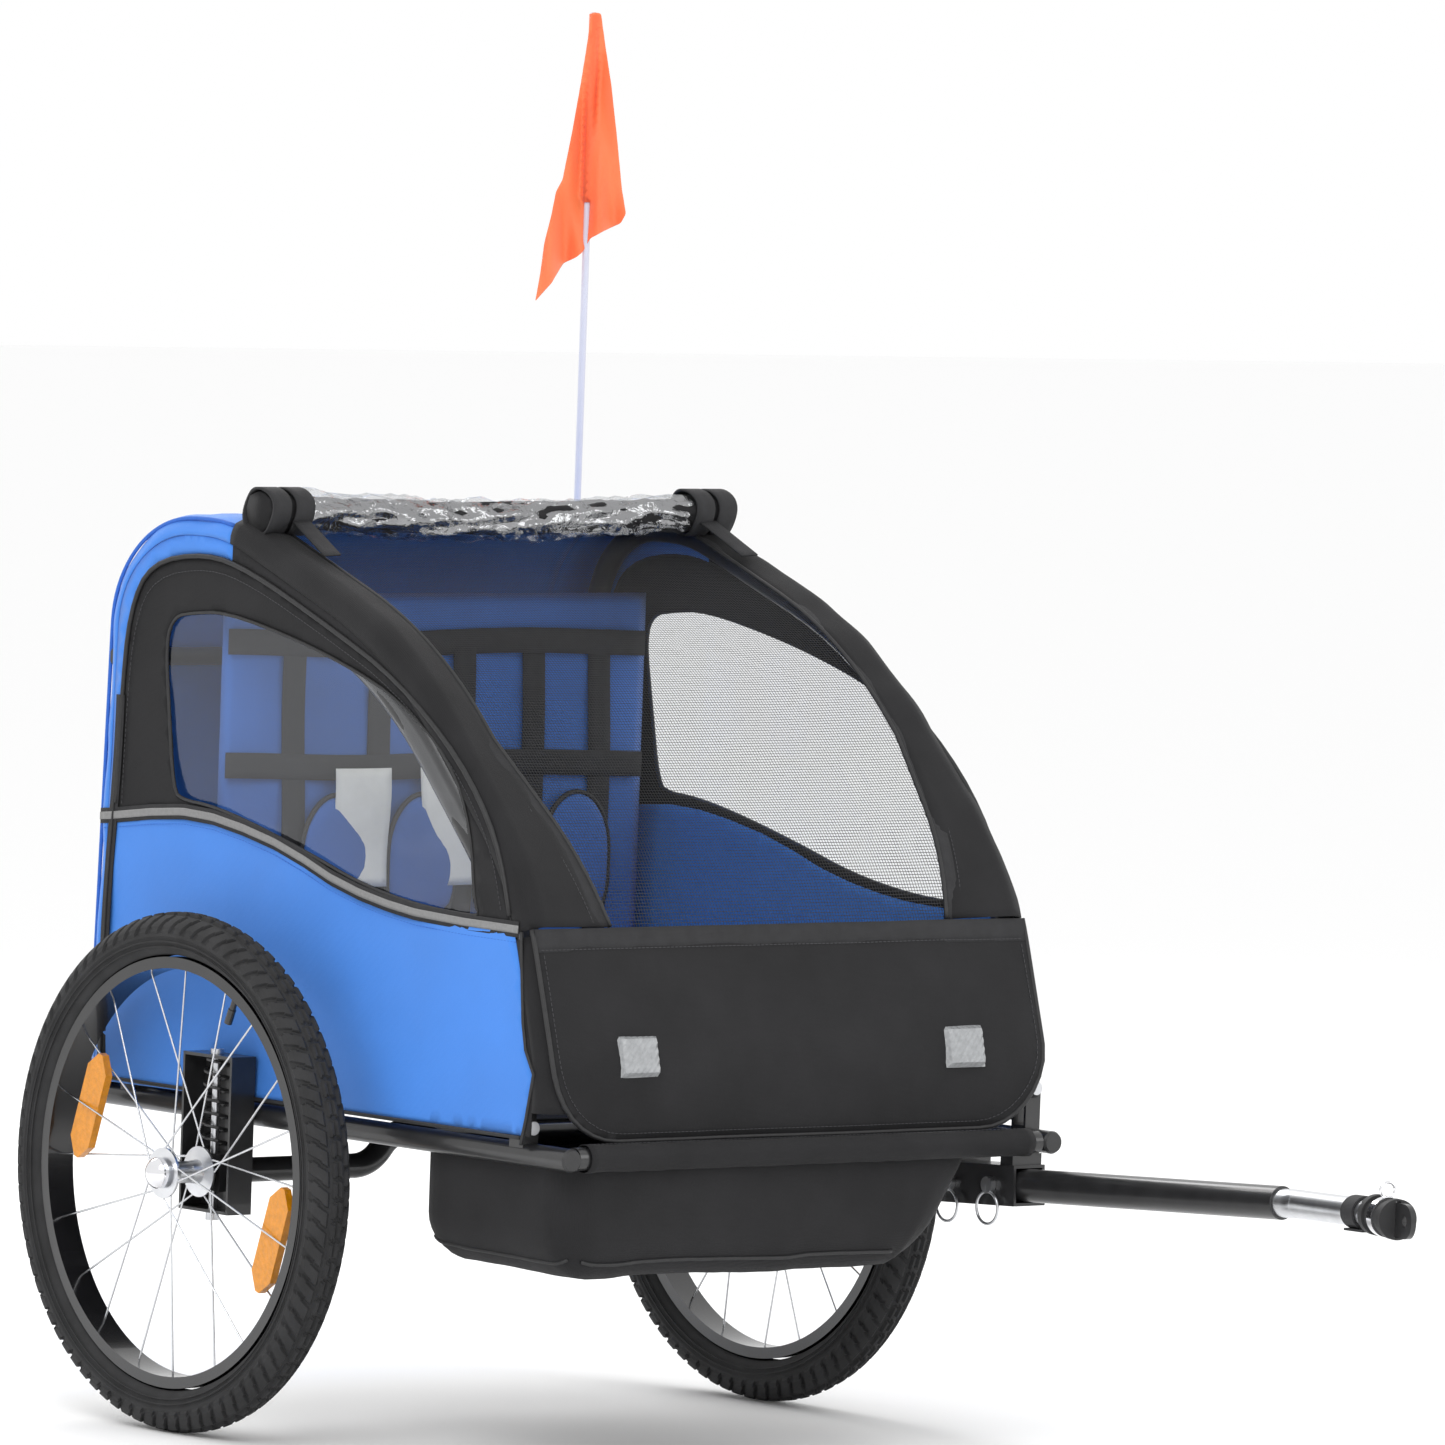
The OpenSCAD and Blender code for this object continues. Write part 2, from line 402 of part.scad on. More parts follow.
module front_panel() P() color(blk) {
  w = inx - 6; z = rail_z + 13.5; c = 80;
  intersection() {
    yz(-w, 2*w) intersection() { band(16.5, 16.5 + ft, 20, 22); win(-900, fy(-300), z, belt_z); }
    xz(-front_reach - 100, 400) polygon(concat([[w, 900], [-w, 900]], [for (i = [0:6]) [-w + c - c*cos(i*15), z + c - c*sin(i*15)]],
      [for (i = [6:-1:0]) [w - c + c*cos(i*15), z + c - c*sin(i*15)]]));
  }
  yz(-w, 2*w) intersection() { band(14, 16.6, 20, 22); win(-900, fy(-300), belt_z - 22, belt_z); }
}
rf_z = rail_z + 92;
rf_y = front_y(rf_z);
rf_a = atan2(front_y(rf_z + 20) - front_y(rf_z - 20), 40);
module front_reflectors() P() color([0.85, 0.85, 0.87]) for (s = [-1, 1]) translate([s*200, rf_y, rf_z]) rotate([-rf_a, 0, 0]) box([-25, -8.5, -20.5], [25, -0.1, 20.5]);
module front_screen() P() color([0.2, 0.2, 0.21]) yz(-screen_half_w + 0.3, 2*screen_half_w - 0.6) intersection() {
  band(13, 14, 20, 21);
  win(-900, fy(-150), belt_z + 0.3, 3000);
}
stripe = [[260, 574], [216, 577], [99, 589], [1, 580], [-97, 557], [-187, 532], [-274, 520], [-435, 516], [-600, 516]];
function st(dz) = [for (p = stripe) q(p[0], p[1] + dz)];
module below(dz) polygon(concat(st(dz), [[-900, rail_z - 50], [900, rail_z - 50]]));
frame_o = [[208, 570], [208, 690], [199, 778], [158, 829], [84, 842], [20, 830], [-113, 782], [-228, 737], [-330, 668], [-393, 597], [-418, 529], [-420, 500], [208, 500]];
win_o = [[118, 608], [142, 752], [133, 772], [102, 781], [47, 785], [-68, 765], [-231, 718], [-315, 667], [-351, 604], [-357, 545], [-345, 536], [-187, 549], [-97, 574], [1, 598], [99, 606]];
module frame2() polygon([for (p = frame_o) q(p[0], p[1])]);
module win2() polygon([for (p = win_o) q(p[0], p[1])]);
module lower2() intersection() {
  outline(); below(0);
  polygon([q(300, 640), q(-436, 640), q(-436, 514), q(-450, 405), q(-466, 383), q(-455, 321), [fy(-455), rail_z], [400, rail_z]]);
}
module upper_blue2() difference() { intersection() { outline(); win(fy(43), 900, rail_z, 3000); } below(0); frame2(); }
module side_panel() leaning() { yz(skin_x, ft) lower2(); yz(skin_x, ft) upper_blue2(); }
module side_panel_left() P() color(blue) side_panel();
module side_panel_right() P() color(blue) mirror([1, 0, 0]) side_panel();
module window_frame() leaning() yz(skin_x, ft) difference() { frame2(); below(0); win2(); }
module window_frame_left() P() color(blk) window_frame();
module window_frame_right() P() color(blk) mirror([1, 0, 0]) window_frame();
module window_pane() leaning() yz(skin_x + 0.3, 0.8) difference() { win2(); }
module window_left() P() color([0.8, 0.85, 0.9, 0.35]) window_pane();
module window_right() P() color([0.8, 0.85, 0.9, 0.35]) mirror([1, 0, 0]) window_pane();
module sleeve() {
  leaning() yz(skin_x, ft) difference() { intersection() { outline(); win(-900, fy(43) - 0.02, rail_z, 3000); } lower2(); difference() { frame2(); below(0); } }
  intersection() { inside(); yz(screen_half_w, skin_x - screen_half_w) intersection() { band(13.5, 14 + ft, 20, 22); win(-900, fy(43) - 0.02, belt_z + 0.3, 3000); } }
}
module hoop_sleeve_left() P() color(blk) sleeve();
module hoop_sleeve_right() P() color(blk) mirror([1, 0, 0]) sleeve();
module roof() P() color(blue) {
  intersection() { inside(); yz(-skin_x, 2*skin_x) intersection() { band(14, 14 + ft, 34, 34 + ft); win(fy(43), 900, rail_z + tr + 1.5, 3000); } }
  yz(-screen_half_w + 0.3, 2*screen_half_w - 0.6) intersection() { band(14, 14 + ft, 34, 34 + ft); win(fy(-150) + 0.3, fy(43) + 1, rail_z, 3000); }
}
sb_y = fy(92);
sb_z1 = fz(800);
module seat_back() P() color(blue) box([-230, sb_y, floor_z + ft + 0.3], [230, sb_y + 6, sb_z1]);
module seat_hangers() P() color(blk) both() {
  box([118, sb_y + 6.1, cb_z - 60], [143, sb_y + 7.6, cb_z + 1.2]);
  box([118, sb_y + 6.1, cb_z - 0.3], [143, cb_y - 9.2, cb_z + 1.2]);
}
module seat_cushion() P() color(blue) box([-230, fy(-150), floor_z + ft + 0.3], [230, sb_y - 0.3, floor_z + ft + 24]);
module harness() P() color(blk) {
  for (x = [-150, -36, 36, 150]) box([x - 12.5, sb_y - 2.2, floor_z + ft + 40], [x + 12.5, sb_y - 0.3, fz(775)]);
  for (x = [-93, 93]) {
    box([x - 44, sb_y - 4.2, fz(515)], [x + 44, sb_y - 0.3, fz(617)]);
    box([x - 20, sb_y - 9, fz(430)], [x + 20, sb_y - 0.3, fz(470)]);
  }
}
roll_c = [fy(16), skin_z(fy(16)) + roll_d/2 + 3.2];
module rain_roll() P() color(blk) cx(-(rail_x - 7), rail_x - 7, roll_c[0], roll_c[1], roll_d/2);
module roll_straps() P() color(blk) both() difference() { cx(215, 240, roll_c[0], roll_c[1], roll_d/2 + 1.6); cx(214, 241, roll_c[0], roll_c[1], roll_d/2 + 0.3); }
pole_x = rail_x - 5;
pole_y = hr_y + 34 + ft + 7.5;
module flag_pole() P() color([0.92, 0.92, 0.9]) cz(pole_x, pole_y, rail_z + 0.3, flag_top, 3.5);
module flag() P() color([0.95, 0.4, 0.15]) translate([pole_x, pole_y, flag_top - 195]) {
  difference() { cylinder(h = 190, r = 4.6); translate([0, 0, -1]) cylinder(h = 192, r = 3.6); }
  rotate([90, 0, 0]) translate([0, 0, -0.5]) linear_extrude(1) polygon([[4.2, 2], [4.2, 188], [60, 60], [48, -20], [25, -80], [12, -70]]);
}

side_rails();
cross_tubes();
rail_caps();
hinge_brackets();
hinge_bolts();
hoop_left();
hoop_right();
rear_crossbar();
axle_beam();
bracket_right();
bracket_left();
guide_rod_right();
guide_rod_left();
carriage_right();
carriage_left();
spring_right();
spring_left();
tyre_right();
tyre_left();
rim_right();
rim_left();
spokes_right();
spokes_left();
hub_right();
hub_left();
hub_cap_right();
hub_cap_left();
wheel_reflectors_right();
wheel_reflectors_left();
tow_receiver();
drawbar();
drawbar_tip();
lock_pin_front();
lock_pin_rear();
coupler();
coupler_clip();
hitch_plate();
safety_strap();
floor();
footwell();
front_panel();
front_reflectors();
front_screen();
side_panel_right();
side_panel_left();
window_frame_right();
window_frame_left();
window_right();
window_left();
hoop_sleeve_right();
hoop_sleeve_left();
roof();
seat_back();
seat_hangers();
seat_cushion();
harness();
rain_roll();
roll_straps();
flag_pole();
flag();
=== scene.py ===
# Child bicycle trailer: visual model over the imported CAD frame. Metres, row frame; helpers work in mm.
import json
import math
import random

import bmesh
import bpy
import numpy as np
from mathutils import Matrix, Vector, noise
from mathutils.geometry import delaunay_2d_cdt


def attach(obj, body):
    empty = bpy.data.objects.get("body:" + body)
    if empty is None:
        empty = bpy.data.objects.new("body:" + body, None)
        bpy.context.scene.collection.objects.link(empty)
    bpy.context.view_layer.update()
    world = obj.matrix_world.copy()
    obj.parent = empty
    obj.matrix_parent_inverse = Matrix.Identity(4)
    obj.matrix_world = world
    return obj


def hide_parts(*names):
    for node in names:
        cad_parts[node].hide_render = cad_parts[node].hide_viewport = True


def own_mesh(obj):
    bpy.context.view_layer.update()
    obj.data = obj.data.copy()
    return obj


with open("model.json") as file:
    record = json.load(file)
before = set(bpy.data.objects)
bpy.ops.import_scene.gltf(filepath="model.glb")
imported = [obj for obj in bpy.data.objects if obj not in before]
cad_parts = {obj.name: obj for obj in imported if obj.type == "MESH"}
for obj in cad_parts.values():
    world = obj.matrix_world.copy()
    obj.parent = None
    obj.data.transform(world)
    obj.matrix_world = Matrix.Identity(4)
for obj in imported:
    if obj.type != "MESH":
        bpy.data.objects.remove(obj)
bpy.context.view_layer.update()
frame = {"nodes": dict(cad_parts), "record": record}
random.seed(7)
YO = 448.0
TOP, RAIL, HR, HF = 861.0, 306.0, 206.0, -470.0
LEAN = math.radians(1.4)


def W(x, y, z):
    return (x / 1000, (y + YO) / 1000, z / 1000)


# ---------------------------------------------------------------- materials
def new_mat(name):
    m = bpy.data.materials.new(name)
    m.use_nodes = True
    return m, m.node_tree.nodes, m.node_tree.links, m.node_tree.nodes["Principled BSDF"]


def mat(name, col, rough=0.5, metal=0.0, vary=0.06, scale=60.0, bump=0.15, bump_scale=None, weave=0.0,
        coat=0.0, sheen=0.0, sub=0.0, spec=0.5):
    m, N, L, b = new_mat(name)
    tc = N.new("ShaderNodeTexCoord")
    nz = N.new("ShaderNodeTexNoise")
    nz.inputs["Scale"].default_value = scale
    nz.inputs["Detail"].default_value = 5
    L.new(tc.outputs["Object"], nz.inputs["Vector"])
    ramp = N.new("ShaderNodeValToRGB")
    lo = [max(0, c * (1 - vary)) for c in col]
    hi = [min(1, c * (1 + vary) + vary * 0.01) for c in col]
    ramp.color_ramp.elements[0].position = 0.3
    ramp.color_ramp.elements[1].position = 0.7
    ramp.color_ramp.elements[0].color = (*lo, 1)
    ramp.color_ramp.elements[1].color = (*hi, 1)
    L.new(nz.outputs["Fac"], ramp.inputs["Fac"])
    L.new(ramp.outputs["Color"], b.inputs["Base Color"])
    b.inputs["Roughness"].default_value = rough
    b.inputs["Metallic"].default_value = metal
    b.inputs["Coat Weight"].default_value = coat
    b.inputs["Specular IOR Level"].default_value = spec
    b.inputs["Sheen Weight"].default_value = sheen
    b.inputs["Subsurface Weight"].default_value = sub
    bp = N.new("ShaderNodeBump")
    bp.inputs["Strength"].default_value = bump
    bp.inputs["Distance"].default_value = 0.001
    n2 = N.new("ShaderNodeTexNoise")
    n2.inputs["Scale"].default_value = bump_scale or scale * 6
    n2.inputs["Detail"].default_value = 4
    L.new(tc.outputs["Object"], n2.inputs["Vector"])
    h = n2.outputs["Fac"]
    if weave:
        add = N.new("ShaderNodeMath")
        add.operation = "ADD"
        prod = N.new("ShaderNodeMath")
        prod.operation = "MULTIPLY"
        for k, ax in enumerate("XY"):
            w = N.new("ShaderNodeTexWave")
            w.bands_direction = ax
            w.inputs["Scale"].default_value = weave
            L.new(tc.outputs["UV"], w.inputs["Vector"])
            L.new(w.outputs["Fac"], prod.inputs[k])
        L.new(h, add.inputs[0])
        L.new(prod.outputs[0], add.inputs[1])
        h = add.outputs[0]
    L.new(h, bp.inputs["Height"])
    L.new(bp.outputs["Normal"], b.inputs["Normal"])
    return m


def mesh_mat(name, col, cell, open_share):
    """Woven insect mesh: a grid of threads in UV space, open between them."""
    m, N, L, b = new_mat(name)
    b.inputs["Base Color"].default_value = (*col, 1)
    b.inputs["Roughness"].default_value = 0.7
    uv = N.new("ShaderNodeTexCoord")
    sep = N.new("ShaderNodeSeparateXYZ")
    L.new(uv.outputs["UV"], sep.inputs[0])
    outs = []
    for ax in (0, 1):
        mul = N.new("ShaderNodeMath")
        mul.operation = "MULTIPLY"
        mul.inputs[1].default_value = 1 / cell
        fr = N.new("ShaderNodeMath")
        fr.operation = "FRACT"
        gt = N.new("ShaderNodeMath")
        gt.operation = "GREATER_THAN"
        gt.inputs[1].default_value = 1 - math.sqrt(open_share)
        L.new(sep.outputs[ax], mul.inputs[0])
        L.new(mul.outputs[0], fr.inputs[0])
        L.new(fr.outputs[0], gt.inputs[0])
        outs.append(gt)
    both = N.new("ShaderNodeMath")
    both.operation = "MULTIPLY"
    L.new(outs[0].outputs[0], both.inputs[0])
    L.new(outs[1].outputs[0], both.inputs[1])
    inv = N.new("ShaderNodeMath")
    inv.operation = "SUBTRACT"
    inv.inputs[0].default_value = 1.0
    L.new(both.outputs[0], inv.inputs[1])
    L.new(inv.outputs[0], b.inputs["Alpha"])
    return m


def film_mat(name, gloss, tint, bump, scale):
    m, N, L, b = new_mat(name)
    out = N["Material Output"]
    N.remove(b)
    tr = N.new("ShaderNodeBsdfTransparent")
    tr.inputs["Color"].default_value = (*tint, 1)
    gl = N.new("ShaderNodeBsdfGlossy")
    gl.inputs["Roughness"].default_value = 0.12
    gl.inputs["Color"].default_value = (0.95, 0.96, 0.98, 1)
    mix = N.new("ShaderNodeMixShader")
    mix.inputs[0].default_value = gloss
    L.new(tr.outputs[0], mix.inputs[1])
    L.new(gl.outputs[0], mix.inputs[2])
    tc = N.new("ShaderNodeTexCoord")
    nz = N.new("ShaderNodeTexNoise")
    nz.inputs["Scale"].default_value = scale
    nz.inputs["Detail"].default_value = 3
    nz.inputs["Distortion"].default_value = 1.2
    bp = N.new("ShaderNodeBump")
    bp.inputs["Strength"].default_value = bump
    bp.inputs["Distance"].default_value = 0.004
    L.new(tc.outputs["Object"], nz.inputs["Vector"])
    L.new(nz.outputs["Fac"], bp.inputs["Height"])
    L.new(bp.outputs["Normal"], gl.inputs["Normal"])
    L.new(mix.outputs[0], out.inputs["Surface"])
    return m


M = {
    "blue": mat("blue cloth", (0.036, 0.205, 0.68), 0.62, vary=0.05, scale=9, bump=0.25, bump_scale=420,
        weave=300, sheen=0.15),
    "blue_in": mat("blue seat cloth", (0.026, 0.13, 0.46), 0.7, vary=0.08, scale=12, bump=0.3,
        bump_scale=420, weave=300, sheen=0.15),
    "black": mat("black cloth", (0.0095, 0.0093, 0.0105), 0.78, vary=0.18, scale=14, bump=0.3,
        bump_scale=380, weave=280, sheen=0.04, spec=0.3),
    "web": mat("webbing", (0.014, 0.014, 0.016), 0.7, vary=0.2, scale=80, bump=0.5, bump_scale=500,
        weave=420),
    "piping": mat("piping", (0.012, 0.012, 0.013), 0.55, vary=0.2, scale=200, bump=0.3),
    "stripe": mat("reflective stripe", (0.20, 0.20, 0.20), 0.35, vary=0.08, scale=300, bump=0.2),
    "thread_b": mat("blue thread", (0.02, 0.12, 0.5), 0.7, vary=0.1, scale=400),
    "thread_k": mat("black thread", (0.05, 0.05, 0.055), 0.6, vary=0.1, scale=400),
    "net": mesh_mat("black mesh", (0.012, 0.012, 0.013), 0.0034, 0.66),
    "film": film_mat("window film", 0.09, (0.96, 0.97, 0.98), 0.5, 14),
    "wrap": film_mat("crinkled film", 0.30, (0.96, 0.965, 0.97), 1.0, 40),
    "rubber": mat("tyre rubber", (0.017, 0.017, 0.018), 0.82, vary=0.25, scale=40, bump=0.35, bump_scale=900),
    "label": mat("blank label", (0.86, 0.87, 0.84), 0.8, vary=0.03, scale=60, bump=0.1),
    "frame": mat("black powder coat", (0.016, 0.016, 0.017), 0.32, vary=0.2, scale=40, bump=0.06,
        bump_scale=700, coat=0.3),
    "plastic": mat("black plastic", (0.02, 0.02, 0.021), 0.45, vary=0.2, scale=60, bump=0.1, bump_scale=600),
    "zinc": mat("zinc steel", (0.62, 0.63, 0.65), 0.32, 1.0, vary=0.06, scale=70, bump=0.08),
    "chrome": mat("chrome", (0.82, 0.82, 0.84), 0.12, 1.0, vary=0.03, scale=60, bump=0.03),
    "spoke": mat("spoke steel", (0.66, 0.67, 0.69), 0.25, 1.0, vary=0.05, scale=90, bump=0.03),
    "alloy": mat("alloy", (0.70, 0.71, 0.73), 0.28, 1.0, vary=0.05, scale=60, bump=0.06),
    "rim": mat("rim black", (0.006, 0.006, 0.007), 0.22, vary=0.2, scale=30, bump=0.02, coat=0.5),
    "joint": mat("joint rubber", (0.018, 0.018, 0.019), 0.62, vary=0.2, scale=60, bump=0.2),
    "white": mat("white rod", (0.58, 0.59, 0.68), 0.35, vary=0.02, scale=50, bump=0.03),
    "orange": mat("flag cloth", (0.90, 0.13, 0.035), 0.6, vary=0.05, scale=20, bump=0.15, bump_scale=500,
        weave=300, sheen=0.2, sub=0.1),
}


def lens_mat(name, col, rough, rib):
    """Moulded prismatic reflector plastic."""
    m = mat(name, col, rough, vary=0.12, scale=160, bump=0.9, bump_scale=rib, coat=0.35)
    m.node_tree.nodes["Principled BSDF"].inputs["Transmission Weight"].default_value = 0.1
    return m


M["amber"] = lens_mat("amber lens", (0.74, 0.27, 0.0), 0.3, 260)
M["clear"] = lens_mat("clear lens", (0.34, 0.35, 0.36), 0.15, 320)

slot_mat = {"frame_black": "frame", "black_plastic": "plastic", "zinc_steel": "zinc",
    "chrome_steel": "chrome", "spoke_steel": "spoke", "hub_alloy": "alloy",
            "bar_alloy": "alloy", "rim_black": "rim", "tyre_rubber": "rubber", "amber": "amber",
                "clear_reflector": "clear", "joint_rubber": "joint",
            "blue_fabric": "blue", "black_fabric": "black", "mesh_fabric": "net", "webbing": "web",
                "clear_film": "film", "pole_white": "white", "flag_orange": "orange"}
for sp in frame["record"]["subparts"]:
    o = frame["nodes"][sp["node"]]
    key = slot_mat[sp["material_slot"]]
    if sp["node"].startswith(("spring", "carriage")):
        key = "frame"
    o.data.materials.clear()
    o.data.materials.append(M[key])


# ---------------------------------------------------------------- geometry helpers
def obj_from(name, verts, faces, key, uvs=None, smooth=True, solid=0.0, sub=0, body="chassis", rep=(),
        squash=True, bevel=0.0):
    me = bpy.data.meshes.new(name)
    me.from_pydata([W(*v) for v in verts], [], faces)
    me.update()
    if uvs is not None:
        lay = me.uv_layers.new(name="UVMap")
        for lp in me.loops:
            lay.data[lp.index].uv = (uvs[lp.vertex_index][0] / 1000, uvs[lp.vertex_index][1] / 1000)
    for p in me.polygons:
        p.use_smooth = smooth
    bm = bmesh.new()
    bm.from_mesh(me)
    bmesh.ops.remove_doubles(bm, verts=bm.verts, dist=1e-5)
    bmesh.ops.recalc_face_normals(bm, faces=bm.faces)
    bm.to_mesh(me)
    bm.free()
    me.materials.append(M[key])
    o = bpy.data.objects.new(name, me)
    bpy.context.scene.collection.objects.link(o)
    if solid:
        md = o.modifiers.new("thick", "SOLIDIFY")
        md.thickness = solid / 1000
        md.offset = 0
    if bevel:
        md = o.modifiers.new("bevel", "BEVEL")
        md.width = bevel / 1000
        md.segments = 2
        md.limit_method = "ANGLE"
    if sub:
        md = o.modifiers.new("sub", "SUBSURF")
        md.levels = sub
        md.render_levels = sub
    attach(o, body)
    if rep:
        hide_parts(*rep)
    if squash:
        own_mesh(o)
    return o


def unit(v):
    n = math.hypot(*v)
    return (v[0] / n, v[1] / n)


def lefty(u):
    return (-u[1], u[0])


def turning(a, b, c):
    u, w = unit((b[0] - a[0], b[1] - a[1])), unit((c[0] - b[0], c[1] - b[1]))
    return math.acos(max(-1, min(1, u[0] * w[0] + u[1] * w[1])))


def hoop_line():
    v = [(HR, 318.5), (HR, TOP), (57, TOP), (-213, 762), (-418, 558), (HF, RAIL + 80), (HF, 318.5)]
    d = lambda a, b: math.dist(a, b)
    t = [0, 95, 0.11 * d(v[2], v[3]), 0.36 * d(v[3], v[4]), 0.4 * d(v[4], v[5]), 11, 0]
    pts = [((v[0][0], v[0][1]), (1.0, 0.0))]
    for i in range(1, 6):
        u0 = unit((v[i][0] - v[i - 1][0], v[i][1] - v[i - 1][1]))
        an = turning(v[i - 1], v[i], v[i + 1])
        r = t[i] / math.tan(an / 2)
        s = (v[i][0] - u0[0] * t[i], v[i][1] - u0[1] * t[i])
        n = lefty(u0)
        c = (s[0] + n[0] * r, s[1] + n[1] * r)
        a0 = math.atan2(-n[1], -n[0])
        k = 16
        for j in range(k + 1):
            a = a0 + an * j / k
            pts.append(((c[0] + math.cos(a) * r, c[1] + math.sin(a) * r), (math.cos(a), math.sin(a))))
    pts.append(((v[6][0], v[6][1]), (-1.0, 0.0)))
    return pts


class Skin:
    """The cabin's outline by arc length: 0 at the bottom rear, rising, over the top and down the front."""

    def __init__(self, d, dr, step=6.0):
        p = [(q[0] + n[0] * (dr if n[0] > 0 else d), q[1] + n[1] * d) for q, n in hoop_line()]
        p = np.array(p)
        s = np.concatenate([[0], np.cumsum(np.hypot(*np.diff(p, axis=0).T))])
        self.L = s[-1]
        g = np.linspace(0, self.L, int(self.L / step))
        y, z = np.interp(g, s, p[:, 0]), np.interp(g, s, p[:, 1])
        for _ in range(3):
            y[1:-1] = 0.25 * y[:-2] + 0.5 * y[1:-1] + 0.25 * y[2:]
            z[1:-1] = 0.25 * z[:-2] + 0.5 * z[1:-1] + 0.25 * z[2:]
        self.s, self.y, self.z = g, y, z
        ty, tz = np.gradient(y), np.gradient(z)
        n = np.hypot(ty, tz)
        self.ny, self.nz = tz / n, -ty / n

    def at(self, s):
        f = lambda a: float(np.interp(s, self.s, a))
        return f(self.y), f(self.z), f(self.ny), f(self.nz)

    def s_y(self, y):  # on the top and front, by y
        i = np.argmax(self.z)
        return float(np.interp(-y, -self.y[i:], self.s[i:]))

    def s_z(self, z):  # on the front, by z
        i = np.argmax(self.z)
        return float(np.interp(-z, -self.z[i:], self.s[i:]))


SK = Skin(15.0, 35.0)
S_TOP = SK.s_y(43)
S_BELT = SK.s_z(516)
S_END = SK.s_z(320)


def lx(x, z):
    """Distance from the mid-plane of a point of the leaning side."""
    return 295 + (x - 295) * math.cos(LEAN) - (z - 317) * math.sin(LEAN)


def nz(x, y, z, f, amp, seed=0.0):
    return amp * noise.noise(Vector((x * f + seed, y * f + seed * 0.7, z * f)))


def inside(p, poly):
    x, y = p
    c = False
    for (x0, y0), (x1, y1) in zip(poly, poly[1:] + poly[:1]):
        if (y0 > y) != (y1 > y) and x < (x1 - x0) * (y - y0) / (y1 - y0) + x0:
            c = not c
    return c


def densify(loop, step, closed=True):
    out = []
    n = len(loop)
    for i in range(n if closed else n - 1):
        a, b = loop[i], loop[(i + 1) % n]
        k = max(1, int(math.dist(a, b) / step))
        for j in range(k):
            out.append((a[0] + (b[0] - a[0]) * j / k, a[1] + (b[1] - a[1]) * j / k))
    if not closed:
        out.append(loop[-1])
    return out


def smooth_loop(loop, it=2):
    """Chaikin corner cutting of a closed loop."""
    for _ in range(it):
        out = []
        for a, b in zip(loop, loop[1:] + loop[:1]):
            out += [(0.75 * a[0] + 0.25 * b[0], 0.75 * a[1] + 0.25 * b[1]),
                (0.25 * a[0] + 0.75 * b[0], 0.25 * a[1] + 0.75 * b[1])]
        loop = out
    return loop


def region(loops, pred, step=11.0):
    """Triangulates the part of the plane where pred holds, bounded by the loops."""
    pts, edges = [], []
    for lp in loops:
        d = densify(lp, step * 0.7)
        b = len(pts)
        pts += d
        edges += [(b + i, b + (i + 1) % len(d)) for i in range(len(d))]
    arr = np.array(pts)
    x0, y0 = arr.min(0)
    x1, y1 = arr.max(0)
    for i, yy in enumerate(np.arange(y0, y1, step * 0.87)):
        for xx in np.arange(x0 + (i % 2) * step / 2, x1, step):
            if pred((xx, yy)) and np.min(np.hypot(arr[:, 0] - xx, arr[:, 1] - yy)) > step * 0.45:
                pts.append((xx, yy))
    v, e, f, *_ = delaunay_2d_cdt([Vector(p) for p in pts], edges, [], 0, 1e-4)
    v = [tuple(p) for p in v]
    tri = [t for t in f if pred((sum(v[i][0] for i in t) / 3, sum(v[i][1] for i in t) / 3))]
    used = sorted({i for t in tri for i in t})
    idx = {u: k for k, u in enumerate(used)}
    return [v[u] for u in used], [[idx[i] for i in t] for t in tri]


def ribbon(name, line, across, width, key, thick=1.0, body="chassis", rep=(), squash=True,
        normal=None, closed=False):
    """A flat strap along 3-D points; across gives its width direction at each point."""
    v, uv, f = [], [], []
    L = 0.0
    for i, p in enumerate(line):
        a = Vector(across[i] if isinstance(across, list) else across).normalized() * (width / 2)
        if i:
            L += math.dist(p, line[i - 1])
        for sgn in (-1, -0.33, 0.33, 1):
            v.append((p[0] + a.x * sgn, p[1] + a.y * sgn, p[2] + a.z * sgn))
            uv.append((sgn * width / 2, L))
    n = len(line)
    for i in range(n if closed else n - 1):
        for j in range(3):
            a, b = i * 4 + j, ((i + 1) % n) * 4 + j
            f.append([a, a + 1, b + 1, b])
    return obj_from(name, v, f, key, uv, solid=thick, body=body, rep=rep, squash=squash)


def cord(name, line, r, key, body="chassis", squash=True, closed=False, seg=8):
    v, f, uv = [], [], []
    n = len(line)
    P = [Vector(p) for p in line]
    up = Vector((0.3, 0.2, 1)).normalized()
    for i in range(n):
        t = (P[(i + 1) % n] - P[i - 1]) if closed else (P[min(i + 1, n - 1)] - P[max(i - 1, 0)])
        t.normalize()
        a = t.cross(up)
        if a.length < 1e-3:
            a = t.cross(Vector((1, 0, 0)))
        a.normalize()
        b = t.cross(a)
        for k in range(seg):
            q = P[i] + (a * math.cos(2 * math.pi * k / seg) + b * math.sin(2 * math.pi * k / seg)) * r
            v.append(tuple(q))
            uv.append((k * r, i * 3))
    for i in range(n if closed else n - 1):
        for k in range(seg):
            j = (i + 1) % n
            f.append([i * seg + k, i * seg + (k + 1) % seg, j * seg + (k + 1) % seg, j * seg + k])
    if not closed:
        f.append([k for k in range(seg)][::-1])
        f.append([(n - 1) * seg + k for k in range(seg)])
    return obj_from(name, v, f, key, uv, body=body, squash=squash)


